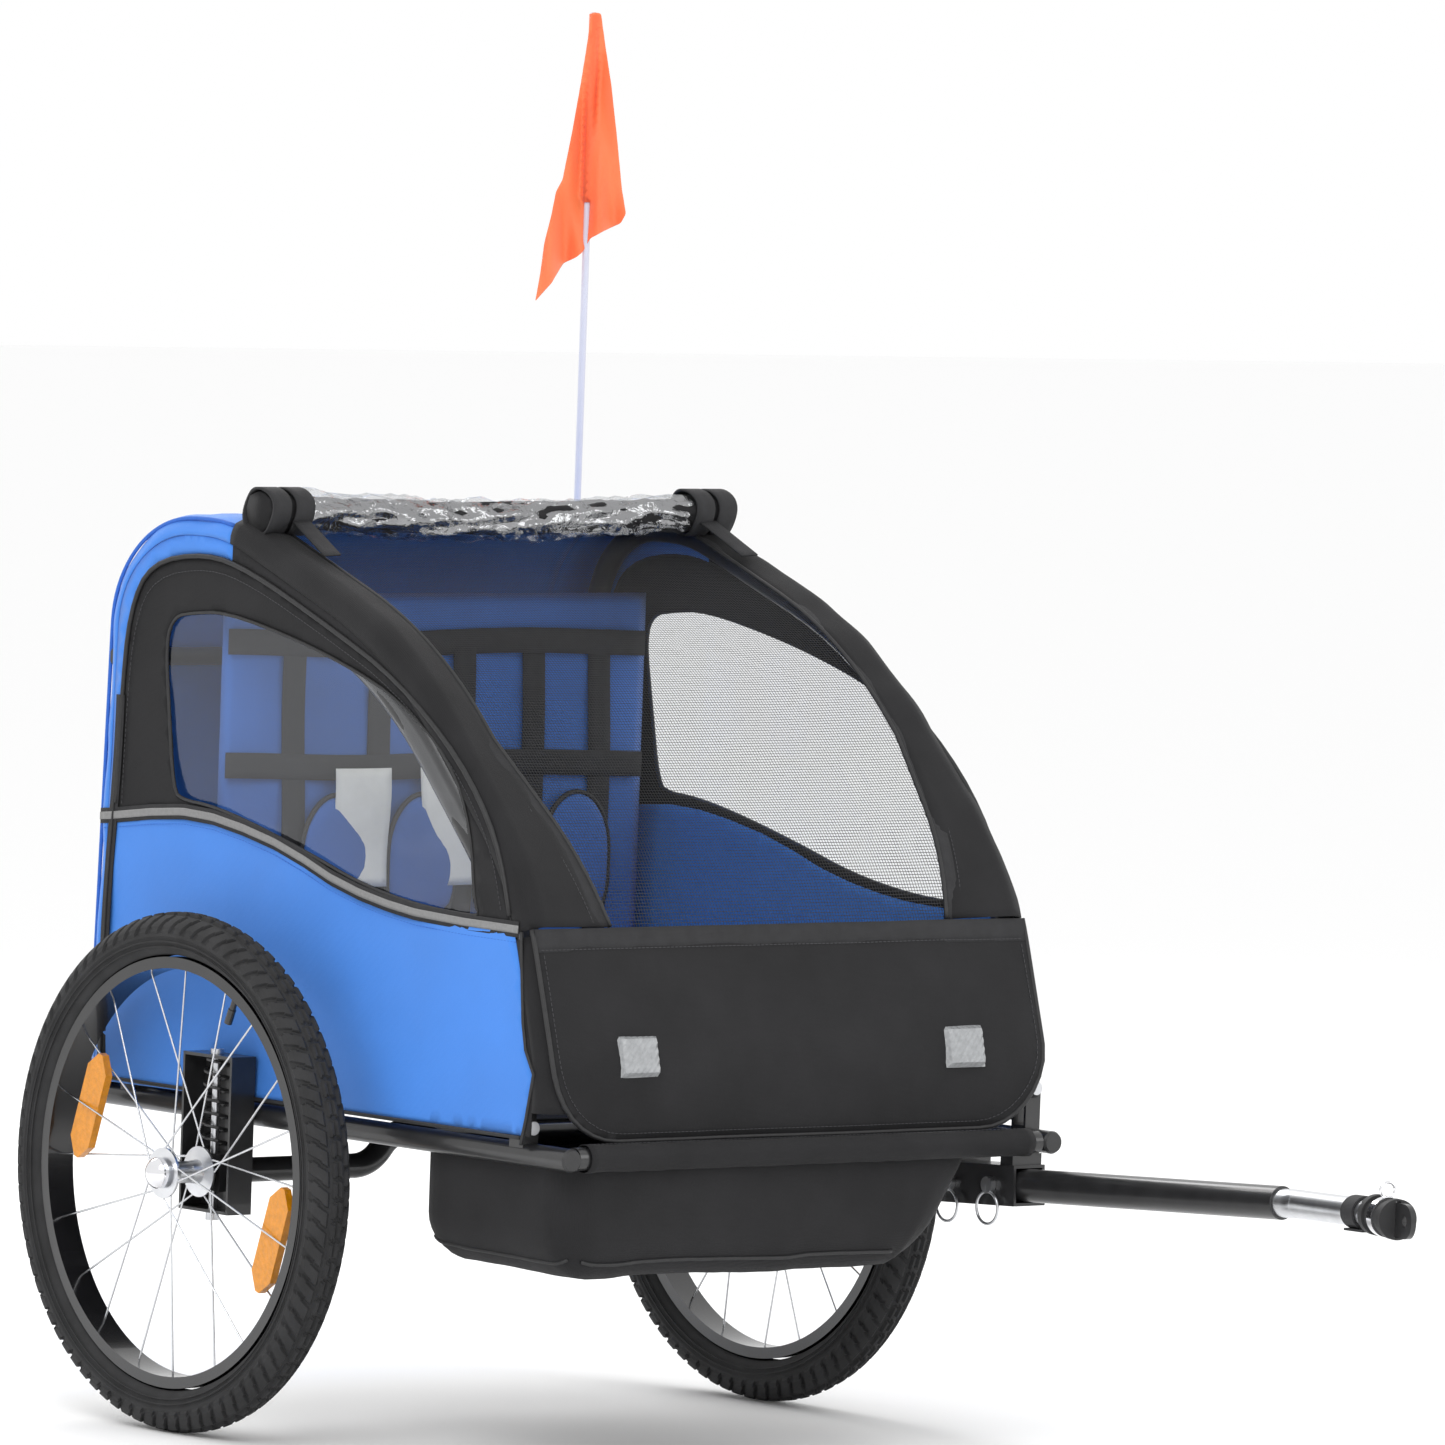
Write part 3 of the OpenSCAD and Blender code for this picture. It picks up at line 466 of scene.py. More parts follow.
def stitches(name, line, key, length=3.2, gap=1.8, r=0.35, body="chassis", squash=True):
    """Dashes of thread along a 3-D line."""
    P = [Vector(p) for p in line]
    v, f = [], []
    s = np.concatenate([[0], np.cumsum([(P[i + 1] - P[i]).length for i in range(len(P) - 1)])])
    A = np.array([tuple(p) for p in P])
    pos = lambda q: Vector([float(np.interp(q, s, A[:, k])) for k in range(3)])
    q = 1.0
    while q + length < s[-1]:
        a, b = pos(q), pos(q + length)
        t = (b - a).normalized()
        u = t.orthogonal().normalized()
        w = t.cross(u)
        base = len(v)
        for e in (a, b):
            for k in range(4):
                v.append(tuple(e + (u * math.cos(k * math.pi / 2) + w * math.sin(k * math.pi / 2)) * r))
        f += [[base + k, base + (k + 1) % 4, base + 4 + (k + 1) % 4, base + 4 + k]
            for k in range(4)] + [[base + 3, base + 2, base + 1, base],
            [base + 4, base + 5, base + 6, base + 7]]
        q += length + gap
    return obj_from(name, v, f, key, body=body, squash=squash, smooth=False)


# ---------------------------------------------------------------- cabin sides
STRIPE = [(275, 572), (216, 577), (150, 585), (99, 589), (50, 587), (1, 580), (-50, 570), (-97, 557),
    (-140, 543), (-187, 532), (-230, 525), (-274, 520), (-350, 517), (-435, 516), (-470, 516)]
stripe_z = lambda y: float(np.interp(y, [p[0] for p in STRIPE][::-1], [p[1] for p in STRIPE][::-1]))
FRAME_O = smooth_loop([(208, 560), (208, 690), (202, 778), (172, 826), (84, 840), (10, 826), (-113, 782),
    (-228, 737), (-330, 668), (-393, 597), (-418, 529), (-422, 500), (208, 500)], 2)
WIN = smooth_loop([(118, 608), (132, 690), (142, 752), (130, 776), (102, 781), (47, 785), (-68, 765),
    (-160, 742), (-231, 718), (-315, 667), (-351, 604), (-362, 535), (-372, 524), (-340, 524),
    (-274, 527), (-187, 540), (-97, 565), (1, 588), (60, 598), (100, 600)], 2)
OUT = [(float(y), float(z)) for y, z in zip(SK.y, SK.z)][::2]
FRONT_EDGE = [(-436, 640), (-436, 514), (-446, 430), (-452, 405), (-466, 383), (-458, 340), (-452, 316)]
LOWER_LOOP = [(260, 572)] + [(y, stripe_z(y)) for y in range(250, -436, -12)] + [(-436, 516), (-446, 430),
    (-452, 405), (-466, 383), (-458, 340), (-452, 318.6), (260, 318.6)]


def side_map(sgn, out=0.0, wob=1.0, seed=0.0):
    def f(p):
        y, z = p
        d = min(25.0, float(np.min(np.hypot(SK.y - y, SK.z - z)))) / 25
        w = nz(y, z, 0, 0.006, 3.2, seed + sgn) + nz(y * 0.5 + z, z, 0, 0.013, 1.3, seed + 5)
        return (sgn * (lx(308.4 + out, z) + wob * d * (w - 1.0)), y, z)
    return f


def panel(name, loops, pred, fmap, key, thick=1.2, rep=(), step=11.0):
    p2, tri = region(loops, pred, step)
    v = [fmap(p) for p in p2]
    return obj_from(name, v, tri, key, p2, solid=thick, rep=rep)


R = 20.0
for sgn, side in ((-1, "right"), (1, "left")):
    keep = R * 0.96
    cut = Skin(15.0 - R, 35.0 - R)
    cut_loop = [(float(y), float(z)) for y, z in zip(cut.y, cut.z)][::2]
    in_cut = lambda p: inside(p, cut_loop) and p[1] > 318.7
    lower = lambda p: in_cut(p) and inside(p, LOWER_LOOP)
    frame_in = lambda p: in_cut(p) and inside(p, FRAME_O) and p[1] > stripe_z(p[0]) and not inside(p,
        LOWER_LOOP)
    surround = lambda p: frame_in(p) and not inside(p, WIN)
    upper = lambda p: in_cut(p) and p[0] > 43 and not frame_in(p) and not inside(p, LOWER_LOOP)
    sleeve = lambda p: in_cut(p) and p[0] <= 43 and not frame_in(p) and not inside(p, LOWER_LOOP)
    fm = side_map(sgn)
    panel("side_lower_" + side, [LOWER_LOOP, cut_loop], lower, side_map(sgn, wob=1.2), "blue",
        rep=("side_panel_" + side,))
    split = [(43, 500), (43, 900), (42.9, 900), (42.9, 500)]
    panel("side_upper_" + side, [cut_loop, FRAME_O, LOWER_LOOP, split], upper, fm, "blue")
    panel("side_sleeve_" + side, [cut_loop, FRAME_O, LOWER_LOOP, split], sleeve, side_map(sgn, 0.3, 0.6),
        "black", rep=("hoop_sleeve_" + side,))
    panel("window_surround_" + side, [cut_loop, FRAME_O, LOWER_LOOP, WIN], surround,
        side_map(sgn, -0.8, 0.6), "black", rep=("window_frame_" + side,))
    panel("window_film_" + side, [WIN], lambda p: inside(p, WIN), side_map(sgn, -1.6, 1.6, 3.0), "film",
        thick=0.0, rep=("window_" + side,))
    # bindings, piping and the reflective stripe
    loop3 = lambda lp, out: [(sgn * lx(308.4 + out, z), y, z) for y, z in lp]
    cord("window_binding_" + side, loop3(densify(WIN, 8), 0.2), 1.7, "piping", closed=True)
    top_f = [(y, z) for y, z in densify(FRAME_O, 8) if z > stripe_z(y) + 4]
    i0 = max(range(len(top_f)), key=lambda i: math.dist(top_f[i], top_f[i - 1]))
    top_f = top_f[i0:] + top_f[:i0]
    cord("surround_piping_" + side, loop3(top_f, 1.0), 2.6, "piping")
    sl = [(y, stripe_z(y)) for y in np.arange(232, -437, -8)]
    for nm, dz, w, key, o in (("stripe_edge", 0, 15, "web", 1.3), ("stripe_band", 0, 7.5, "stripe", 2.0)):
        ribbon(nm + "_" + side, [(sgn * lx(308.4 + o, z), y, z + dz) for y, z in sl], (0, 0, 1), w, key,
            thick=0.7)
    # tape over the zip near the rear corner, with its teeth
    tape = [(sgn * lx(308.4 + 1.4, z), 212 + 3 * math.sin(z / 60), z) for z in np.arange(326, 700, 9)]
    ribbon("zip_tape_" + side, tape, (0, 1, 0), 13, "web", thick=0.9)
    cord("zip_teeth_" + side, [(x + sgn * 0.8, y, z) for x, y, z in tape], 1.3, "piping")
    edge = [(sgn * lx(308.4 + 1.0, z), y, z) for y, z in densify(FRONT_EDGE[1:], 8, False)]
    cord("front_piping_" + side, edge, 1.8, "piping")
    hem = [(sgn * lx(308.4 + 0.8, 322), y, 322.5) for y in np.arange(-450, 236, 10)]
    cord("side_hem_" + side, hem, 1.9, "piping")
    stitches("stitch_side_" + side, [(sgn * lx(309.6, z - 12), y, z - 12) for y, z in sl], "thread_b")
    stitches("stitch_surround_" + side, [(sgn * lx(309.2, z), y + 0, z) for y,
        z in [(a * 0.965 - 1, 560 + (b - 560) * 0.95) for a, b in top_f]], "thread_k")


# ---------------------------------------------------------------- rounded edges and top skins
def net_half(z):
    return float(np.interp(z, [516, 600, 684, 900], [205, 226, 247, 250]))


def corner_sweep(name, s0, s1, sgn, key, inner, rep=(), puff=0.0, low=0.0):
    """The rounded fabric edge between a side and the front or top, from s0 to s1.

    inner(z) is where it ends towards the middle.
    """
    v, uv, f = [], [], []
    ss = np.arange(s0, s1 + 0.1, 9.0)
    sec = [(0, R + low), (0, R)] + [(R - R * math.cos(a), R - R * math.sin(a))
        for a in np.radians([15, 30, 45, 60, 75])] + [(R, 0)]
    for i, s in enumerate(ss):
        y, z, ny, nzz = SK.at(s)
        hw = lx(308.4, z)
        end = inner(z)
        row = [(hw - a, b) for a, b in sec] + [(hw - R + (end - hw + R) * t, 0) for t in (0.33, 0.66, 1.0)]
        arc = 0.0
        for j, (x, b) in enumerate(row):
            if j:
                arc += math.dist(row[j], row[j - 1])
            w = nz(sgn * x * 0.4, y, z, 0.02, 2.6, 11.0) + nz(x, y, z, 0.05, 0.4, 2.0)
            lift = puff * math.sin(math.pi * min(1, max(0, j - 1) / (len(row) - 2))) + (w
                if 1 < j < len(row) - 1 else 0.3)
            v.append((sgn * x + (sgn * lift * 0.6 if j < 5 else 0), y - ny * b + ny * lift, z - nzz * b
                + nzz * lift))
            uv.append((arc, s))
    n = len(sec) + 3
    for i in range(len(ss) - 1):
        for j in range(n - 1):
            f.append([i * n + j, i * n + j + 1, (i + 1) * n + j + 1, (i + 1) * n + j])
    return obj_from(name, v, f, key, uv, solid=1.4, rep=rep)


for sgn, side in ((-1, "right"), (1, "left")):
    corner_sweep("edge_sleeve_" + side, S_TOP, S_BELT + 6, sgn, "black", lambda z: net_half(z), puff=6.0)
    corner_sweep("edge_front_" + side, S_BELT + 4, SK.s_z(345), sgn, "black", lambda z: 262)
    corner_sweep("edge_rear_" + side, 4, S_TOP + 3, sgn, "blue", lambda z: 250)
    line = [SK.at(s) for s in np.arange(S_TOP, S_BELT, 9)]
    cord("net_binding_" + side, [(sgn * (net_half(z) + 1), y + ny * 1.2, z + k * 1.2) for y, z, ny,
        k in line], 2.2, "piping")
    ribbon("net_tape_" + side, [(sgn * (net_half(z) + 9), y + ny * 1.4, z + k * 1.4) for y, z, ny,
        k in line], (1, 0, 0), 16, "web", thick=0.9)
    cord("rear_piping_" + side, [(sgn * (lx(308.4, z) - 5), y + ny * -3.5 + 0, z - k * 3.5) for y, z, ny,
        k in [SK.at(s) for s in np.arange(6, S_TOP, 9)]], 2.0, "thread_b")
    stitches("stitch_sleeve_" + side, [(sgn * (net_half(z) + 20), y + ny * 2.2, z + k * 2.2) for y, z, ny,
        k in line], "thread_k")


def band(name, s0, s1, half, key, sag, rep=(), thick=1.2, nx=44, wob=1.5, out=0.0, seed=0.0,
        ds=9.0, held=None):
    v, uv, f = [], [], []
    ss = np.arange(s0, s1 + 0.1, ds)
    for s in ss:
        y, z, ny, k = SK.at(s)
        h = half(z)
        for j in range(nx + 1):
            x = -h + 2 * h * j / nx
            t = max(0.0, 1 - (x / h) ** 2)
            broad = noise.noise(Vector((x * 0.008, s * 0.02, seed)))
            small = noise.noise(Vector((x * 0.03, s * 0.03, seed)))
            hang = sag * t * math.sin(math.pi * (s - s0) / (s1 - s0))
            lift = out - hang + wob * t ** 0.3 * (broad + 0.4 * small)
            v.append((x, y + ny * lift, z + k * lift))
            uv.append((x, s))
    n = nx + 1
    for i in range(len(ss) - 1):
        for j in range(nx):
            f.append([i * n + j, i * n + j + 1, (i + 1) * n + j + 1, (i + 1) * n + j])
    return obj_from(name, v, f, key, uv, solid=thick, rep=rep)


band("roof_skin", 4, S_TOP + 2, lambda z: 252, "blue", 5, rep=("roof",), wob=2.5)
band("front_net", S_TOP - 4, S_BELT + 8, lambda z: net_half(z) + 4, "net", 4, rep=("front_screen",),
    thick=0.0, wob=1.2)
for z in (640, 800):
    s = SK.s_z(z)
rows = [(-246 + i * 12, ) for i in range(42)]
ribbon("roof_seam", [(x[0], SK.at(S_TOP - 1)[0], SK.at(S_TOP - 1)[1] + 1.6) for x in rows], (0, 1, -0.2),
    12, "web", thick=0.9)

# ---------------------------------------------------------------- front panel
FW = 301.0


SB, SE = S_BELT, S_END
c = 78
corner = [(FW - c + c * math.sin(a), SE - c + c * math.cos(a)) for a in np.linspace(math.pi / 2, 0, 9)]
fp_loop = [(-FW, SB), (FW, SB)] + corner + [(-x, s) for x, s in corner[::-1]]


def fp_map(p):
    x, s = p
    y, z, ny, k = SK.at(s)
    t = (s - SB) / (SE - SB)
    e = min(1, (FW - abs(x)) / 60)
    bulge = 2.2 + e * (3.0 * math.sin(math.pi * t) + nz(x * 0.7, s, 0, 0.012, 3.2, 4)
        + nz(x, s, 0, 0.035, 0.9, 9)) + 2.0 * t * math.sin(x / 43) * e * 0.6
    return (x, y + ny * bulge, z + k * bulge)


panel("front_panel_cloth", [fp_loop], lambda p: inside(p, fp_loop), fp_map, "black", thick=1.6,
    rep=("front_panel",))
cord("front_panel_binding", [fp_map(p) for p in densify(fp_loop[1:] + fp_loop[:1], 9, False)], 2.4,
    "piping")
belt = [fp_map((x, SB + 11)) for x in np.arange(-FW + 1, FW, 10)]
ribbon("belt_tape", [(x, y - 1.4, z + 0.4) for x, y, z in belt], (0, 0.25, 1), 22, "web", thick=1.2)
for ds in (2.5, 19.5):
    stitches("stitch_belt_%d" % ds, [(a[0], a[1] - 2.4, a[2])
        for a in [fp_map((x, SB + ds)) for x in np.arange(-FW + 4, FW - 3, 10)]], "thread_k")
hem = [(x * 0.975, s if s < SB + 30 else SB + (s - SB) * 0.965) for x, s in corner[:]]
hem = [(FW - 8, SB + 24)] + hem + [(-x, s) for x, s in hem[::-1]] + [(-FW + 8, SB + 24)]
stitches("stitch_front_hem", [(a[0], a[1] - 1.2, a[2])
    for a in [fp_map(p) for p in densify(hem, 9, False)]], "thread_k")

# reflectors: a ribbed clear lens
for x0 in (-200, 200):
    nm = "right" if x0 < 0 else "left"
    v, f = [], []
    y, z, ny, k = SK.at(SK.s_z(398))
    T = Vector((0, -k, ny)) if ny < 0 else Vector((0, k, -ny))
    T = Vector((0, -k, ny))
    T = T if T.z > 0 else -T
    Nn = Vector((0, ny, k))
    C = Vector((x0, y, z)) + Nn * 6.2
    X = Vector((1, 0, 0))
    n = 14
    for i in range(n + 1):
        u = -24 + 48 * i / n
        for w in range(11):
            q = -20 + 40 * w / 10
            edge = min(1, (24 - abs(u)) / 5, (20 - abs(q)) / 5)
            h = 6.5 * math.sqrt(max(0, edge)) + (0.9 if (i + w) % 2 else 0) * (edge > 0.6)
            v.append(tuple(C + X * u + T * q + Nn * (h - 2.5)))
    for i in range(n):
        for w in range(10):
            f.append([i * 11 + w, i * 11 + w + 1, (i + 1) * 11 + w + 1, (i + 1) * 11 + w])
    obj_from("front_reflector_" + nm, v, f, "clear", smooth=False, solid=0.8, rep=("front_reflectors",))

# ---------------------------------------------------------------- footwell bag
def bag():
    x0, x1, y0, y1, z0 = -287.0, 222.0, -494.0, -258.0, 191.0
    r = 46.0
    v, f, key = [], [], {}
    def P(x, y, z):
        # pull the lower corners round; the far side slopes in, as the photo shows
        q = Vector((x, y, z))
        lo = Vector((x0 + r, y0 + 26, z0 + r))
        hi = Vector((x1 - r, y1 - r, 400))
        cpt = Vector((min(max(x, lo.x), hi.x), min(max(y, lo.y), hi.y), max(z, lo.z)))
        d = q - cpt
        if d.length > 1e-6:
            m = max(abs(d.x) / (r if x < 0 else r), abs(d.y) / (26 if y < -380 else r), abs(d.z) / r)
            dd = Vector((d.x / r, d.y / (26 if y < -380 else r), d.z / r))
            k = m / dd.length if dd.length else 1
            q = cpt + d * k
        sl = max(0, (305 - q.z) / 115)
        q.x -= (70 * sl if q.x > 100 else 0) * min(1, max(0, (q.x - 100) / 96))
        w = nz(q.x, q.y, q.z, 0.012, 5.0, 3) + nz(q.x, q.y, q.z, 0.035, 1.6, 8)
        e = min(1, max(0, (300 - q.z) / 30))
        q += Vector((0.3, 0.5, 0.6)) * w * e
        return tuple(q)
    st = 11.0
    nx, ny_, nz_ = int((x1 - x0) / st), int((y1 - y0) / st), int((304 - z0) / st)
    def grid(fn, a, b):
        base = len(v)
        for i in range(a + 1):
            for j in range(b + 1):
                v.append(P(*fn(i / a, j / b)))
        for i in range(a):
            for j in range(b):
                f.append([base + i * (b + 1) + j, base + i * (b + 1) + j + 1, base + (i + 1) * (b + 1)
                    + j + 1, base + (i + 1) * (b + 1) + j])
    X = lambda t: x0 + (x1 - x0) * t
    Y = lambda t: y0 + (y1 - y0) * t
    Z = lambda t: z0 + (304 - z0) * t
    grid(lambda a, b: (X(a), Y(b), z0), nx, ny_)
    grid(lambda a, b: (X(a), y0, Z(b)), nx, nz_)
    grid(lambda a, b: (X(a), y1, Z(b)), nx, nz_)
    grid(lambda a, b: (x0, Y(a), Z(b)), ny_, nz_)
    grid(lambda a, b: (x1, Y(a), Z(b)), ny_, nz_)
    o = obj_from("footwell_bag", v, f, "black", uvs=[(p[0] + p[1], p[2] + p[1]) for p in v], solid=1.6,
        rep=("footwell",), squash=False)
    return P


BP = bag()
front_seam = [BP(x, -494, 196) for x in np.arange(-270, 150, 9)]
cord("bag_seam_front", [(x, y - 1.5, z - 1) for x, y, z in front_seam], 1.8, "piping", squash=False)
cord("bag_seam_side", [(x - 1.2, y, z) for x, y,
    z in [BP(-287, y, 196) for y in np.arange(-488, -262, 9)]], 1.8, "piping", squash=False)
stitches("stitch_bag", [(x, y - 2, z + 9) for x, y, z in front_seam], "thread_k", squash=False)

# the bag's cloth runs up over the front tube
v, uv, f = [], [], []
ww = np.arange(-272, 273, 8)
for x in ww:
    for j in range(24):
        a_ = 2 * math.pi * j / 24
        rr = 12.3 + abs(nz(x, j * 9, 0, 0.03, 1.3, 2)) + (0.8 if abs(x) > 262 else 0)
        v.append((x, -500 + rr * math.cos(a_), 306 + rr * math.sin(a_)))
        uv.append((x, a_ * 12))
for i in range(len(ww) - 1):
    for j in range(24):
        f.append([i * 24 + j, i * 24 + (j + 1) % 24, (i + 1) * 24 + (j + 1) % 24, (i + 1) * 24 + j])
obj_from("front_tube_wrap", v, f, "black", uv, solid=0.8, squash=False)
stitches("stitch_wrap", [(x, -501, 319.6) for x in np.arange(-268, 269, 10)], "thread_k", squash=False)

# ---------------------------------------------------------------- inside
def cushion(name, x0, x1, y0, y1, z0, z1, key, rep=(), quilt=0.0, squash=True):
    """A foam-filled pad: a rounded block with tufted faces."""
    v, f = [], []
    c = Vector(((x0 + x1) / 2, (y0 + y1) / 2, (z0 + z1) / 2))
    h = Vector(((x1 - x0) / 2, (y1 - y0) / 2, (z1 - z0) / 2))
    thin = min(range(3), key=lambda i: h[i])
    a, b = [i for i in range(3) if i != thin]
    na, nb = max(6, int(h[a] * 2 / 12)), max(6, int(h[b] * 2 / 12))
    for sd in (-1, 1):
        base = len(v)
        for i in range(na + 1):
            for j in range(nb + 1):
                u, w = -1 + 2 * i / na, -1 + 2 * j / nb
                e = max(0.0, (1 - abs(u) ** 8) * (1 - abs(w) ** 8)) ** 0.5
                q = Vector((0, 0, 0))
                q[a] = u * h[a]
                q[b] = w * h[b]
                channel = abs(math.sin(math.pi * q[a] / 72)) * abs(math.sin(math.pi * q[b] / 66))
                dent = quilt * channel ** 0.5 - quilt
                q[thin] = sd * (h[thin] * e + dent * 0.5 * e + nz(q[a], q[b], sd * 9, 0.02, 1.2) * e)
                v.append(tuple(c + q))
        for i in range(na):
            for j in range(nb):
                f.append([base + i * (nb + 1) + j, base + i * (nb + 1) + j + 1, base + (i + 1) * (nb + 1)
                    + j + 1, base + (i + 1) * (nb + 1) + j])
    o = obj_from(name, v, f, key, uvs=[(p[0], p[2] + p[1]) for p in v], rep=rep, squash=squash)
    return o


cushion("seat_back_pad", -262, 262, 92, 106, 330, 800, "blue_in", rep=("seat_back",), quilt=3.0)
cushion("seat_base_pad", -236, 236, -150, 90, 319.5, 348, "blue_in", rep=("seat_cushion",), quilt=5.0,
    squash=False)
# black webbing grid on the seat back
vx = [-179, -74, 30, 117, 200]
for i, x in enumerate(vx):
    ribbon("back_strap_%d" % i, [(x + 2 * math.sin(z / 70), 89.5 + 1.2 * math.sin(z / 33 + i), z)
        for z in np.arange(370, 766, 12)], (1, 0, 0), 27, "web", thick=1.6,
           rep=("harness",) if i == 0 else ())
for i, z in enumerate((632, 752)):
    ribbon("back_band_%d" % i, [(x, 88.0 + 1.0 * math.sin(x / 41 + i), z + 2 * math.sin(x / 60))
        for x in np.arange(-262, 263, 12)], (0, 0, 1), 25, "web", thick=1.6)
ribbon("back_hanger_right", [(-130, 108, z) for z in np.arange(640, 733, 12)]
    + [(-130, 108 + y, 733) for y in (40, 80, 112)], (1, 0, 0), 25, "web", thick=1.5,
    rep=("seat_hangers",))
ribbon("back_hanger_left", [(130, 108, z) for z in np.arange(640, 733, 12)]
    + [(130, 108 + y, 733) for y in (40, 80, 112)], (1, 0, 0), 25, "web", thick=1.5)


def round_pad(name, xc, zc, w, h, y, key, edge, thick=7):
    v, uv, f = [], [], []
    nr, na = 8, 40
    def rim(t):
        a = 2 * math.pi * t
        ca, sa = math.cos(a), math.sin(a)
        e = 2.0 if sa > 0 else 5.0
        k = (abs(ca) ** e + abs(sa) ** e) ** (-1 / e)
        return ca * k * w / 2, sa * k * h / 2
    for r in range(nr + 1):
        for j in range(na):
            X, Z = rim(j / na)
            t = r / nr
            v.append((xc + X * t, y - thick * math.sqrt(max(0, 1 - t ** 4)), zc + Z * t))
            uv.append((X * t, Z * t))
    for r in range(nr):
        for j in range(na):
            f.append([r * na + j, r * na + (j + 1) % na, (r + 1) * na + (j + 1) % na, (r + 1) * na + j])
    o = obj_from(name, v, f, key, uv, solid=1.0)
    cord(name + "_binding", [(xc + rim(j / na)[0], y - 1, zc + rim(j / na)[1]) for j in range(na)], 2.6,
        edge, closed=True)
    return o


for i, xc in enumerate((-128, -22, 86, 170)):
    round_pad("harness_pad_%d" % i, xc, 545, 84, 118, 84, "blue_in", "piping")
# blank pads above the harness, as in the photo but without any print
for i, (xc, t) in enumerate(((-100, 0.02), (8, -0.03))):
    v, uv, f = [], [], []
    for a in range(9):
        for b in range(13):
            x, z = -34 + 68 * a / 8, -58 + 116 * b / 12
            v.append((xc + x + t * z, 80.0 - 3 * math.sin(math.pi * a / 8) - 1.5 * math.sin(z / 17 + i),
                572 + z))
            uv.append((x, z))
    for a in range(8):
        for b in range(12):
            f.append([a * 13 + b, a * 13 + b + 1, (a + 1) * 13 + b + 1, (a + 1) * 13 + b])
    obj_from("blank_pad_%d" % i, v, f, "label", uv, solid=1.0)

# floor cloth
v, uv, f = [], [], []
for i in range(47):
    for j in range(43):
        x, y = -281 + 562 * i / 46, -272 + 496 * j / 42
        v.append((x, y, 318.3 + nz(x, y, 0, 0.01, 0.6, 1)))
        uv.append((x, y))
for i in range(46):
    for j in range(42):
        f.append([i * 43 + j, i * 43 + j + 1, (i + 1) * 43 + j + 1, (i + 1) * 43 + j])
obj_from("floor_cloth", v, f, "black", uv, solid=1.3, rep=("floor",), squash=False)

# ---------------------------------------------------------------- rolled rain cover
y, z, ny, k = SK.at(SK.s_y(16))
RC = (y + 0.0, z + 22.0)


def roll(name, x0, x1, rad, key, amp, seed, freq=0.05, rep=(), flat=1.0, droop=0.0, thick=0.0):
    v, uv, f = [], [], []
    n, m = int((x1 - x0) / 7), 40
    for i in range(n + 1):
        x = x0 + (x1 - x0) * i / n
        e = math.sin(math.pi * i / n)
        for j in range(m):
            a = 2 * math.pi * j / m
            d = noise.noise(Vector((x * freq, math.cos(a) * 2.2 + seed,
                math.sin(a) * 2.2))) + 0.5 * noise.noise(Vector((x * freq * 3, math.cos(a) * 5,
                math.sin(a) * 5 + seed)))
            r = rad(x) + amp * d
            v.append((x, RC[0] + r * 1.08 * math.cos(a), RC[1] + flat * r * math.sin(a) - droop * e))
            uv.append((x, a * 20))
    for i in range(n):
        for j in range(m):
            f.append([i * m + j, i * m + (j + 1) % m, (i + 1) * m + (j + 1) % m, (i + 1) * m + j])
    if thick == 0:
        f.append(list(range(m))[::-1])
        f.append([n * m + j for j in range(m)])
    return obj_from(name, v, f, key, uv, rep=rep, solid=max(0, thick))


roll("cover_roll", -286, 286, lambda x: 15.5 + 3.0 * (abs(x) > 235), "black", 3.2, 2.0,
    rep=("rain_roll",), droop=6)
roll("cover_film", -240, 240, lambda x: 20.5 - 0.006 * (x + 240), "wrap", 6.5, 9.0, 0.03,
    droop=8, thick=-1)
for sgn, side in ((-1, "right"), (1, "left")):
    for q, xx in enumerate((248, 276)):
        lp = [(sgn * xx + 1.5 * math.sin(3 * a), RC[0] + 23.5 * math.cos(a), RC[1] + 22.5 * math.sin(a))
            for a in np.linspace(0, 2 * math.pi, 37)[:-1]]
        ribbon("roll_loop_%s_%d" % (side, q), lp, (1, 0, 0), 22, "web", thick=2.2, closed=True,
            rep=("roll_straps",) if q == 0 else ())
    tail = [(sgn * (252 + t * 6), RC[0] - 22 - 60 * t, RC[1] - 8 - 30 * t + 0) for t in np.linspace(0, 1, 9)]
    tail = [(x, y_, max(z_, SK.at(SK.s_y(y_))[1] + 2.2)) for x, y_, z_ in tail]
    ribbon("roll_tail_" + side, tail, (1, 0, 0.05), 20, "web", thick=1.6)

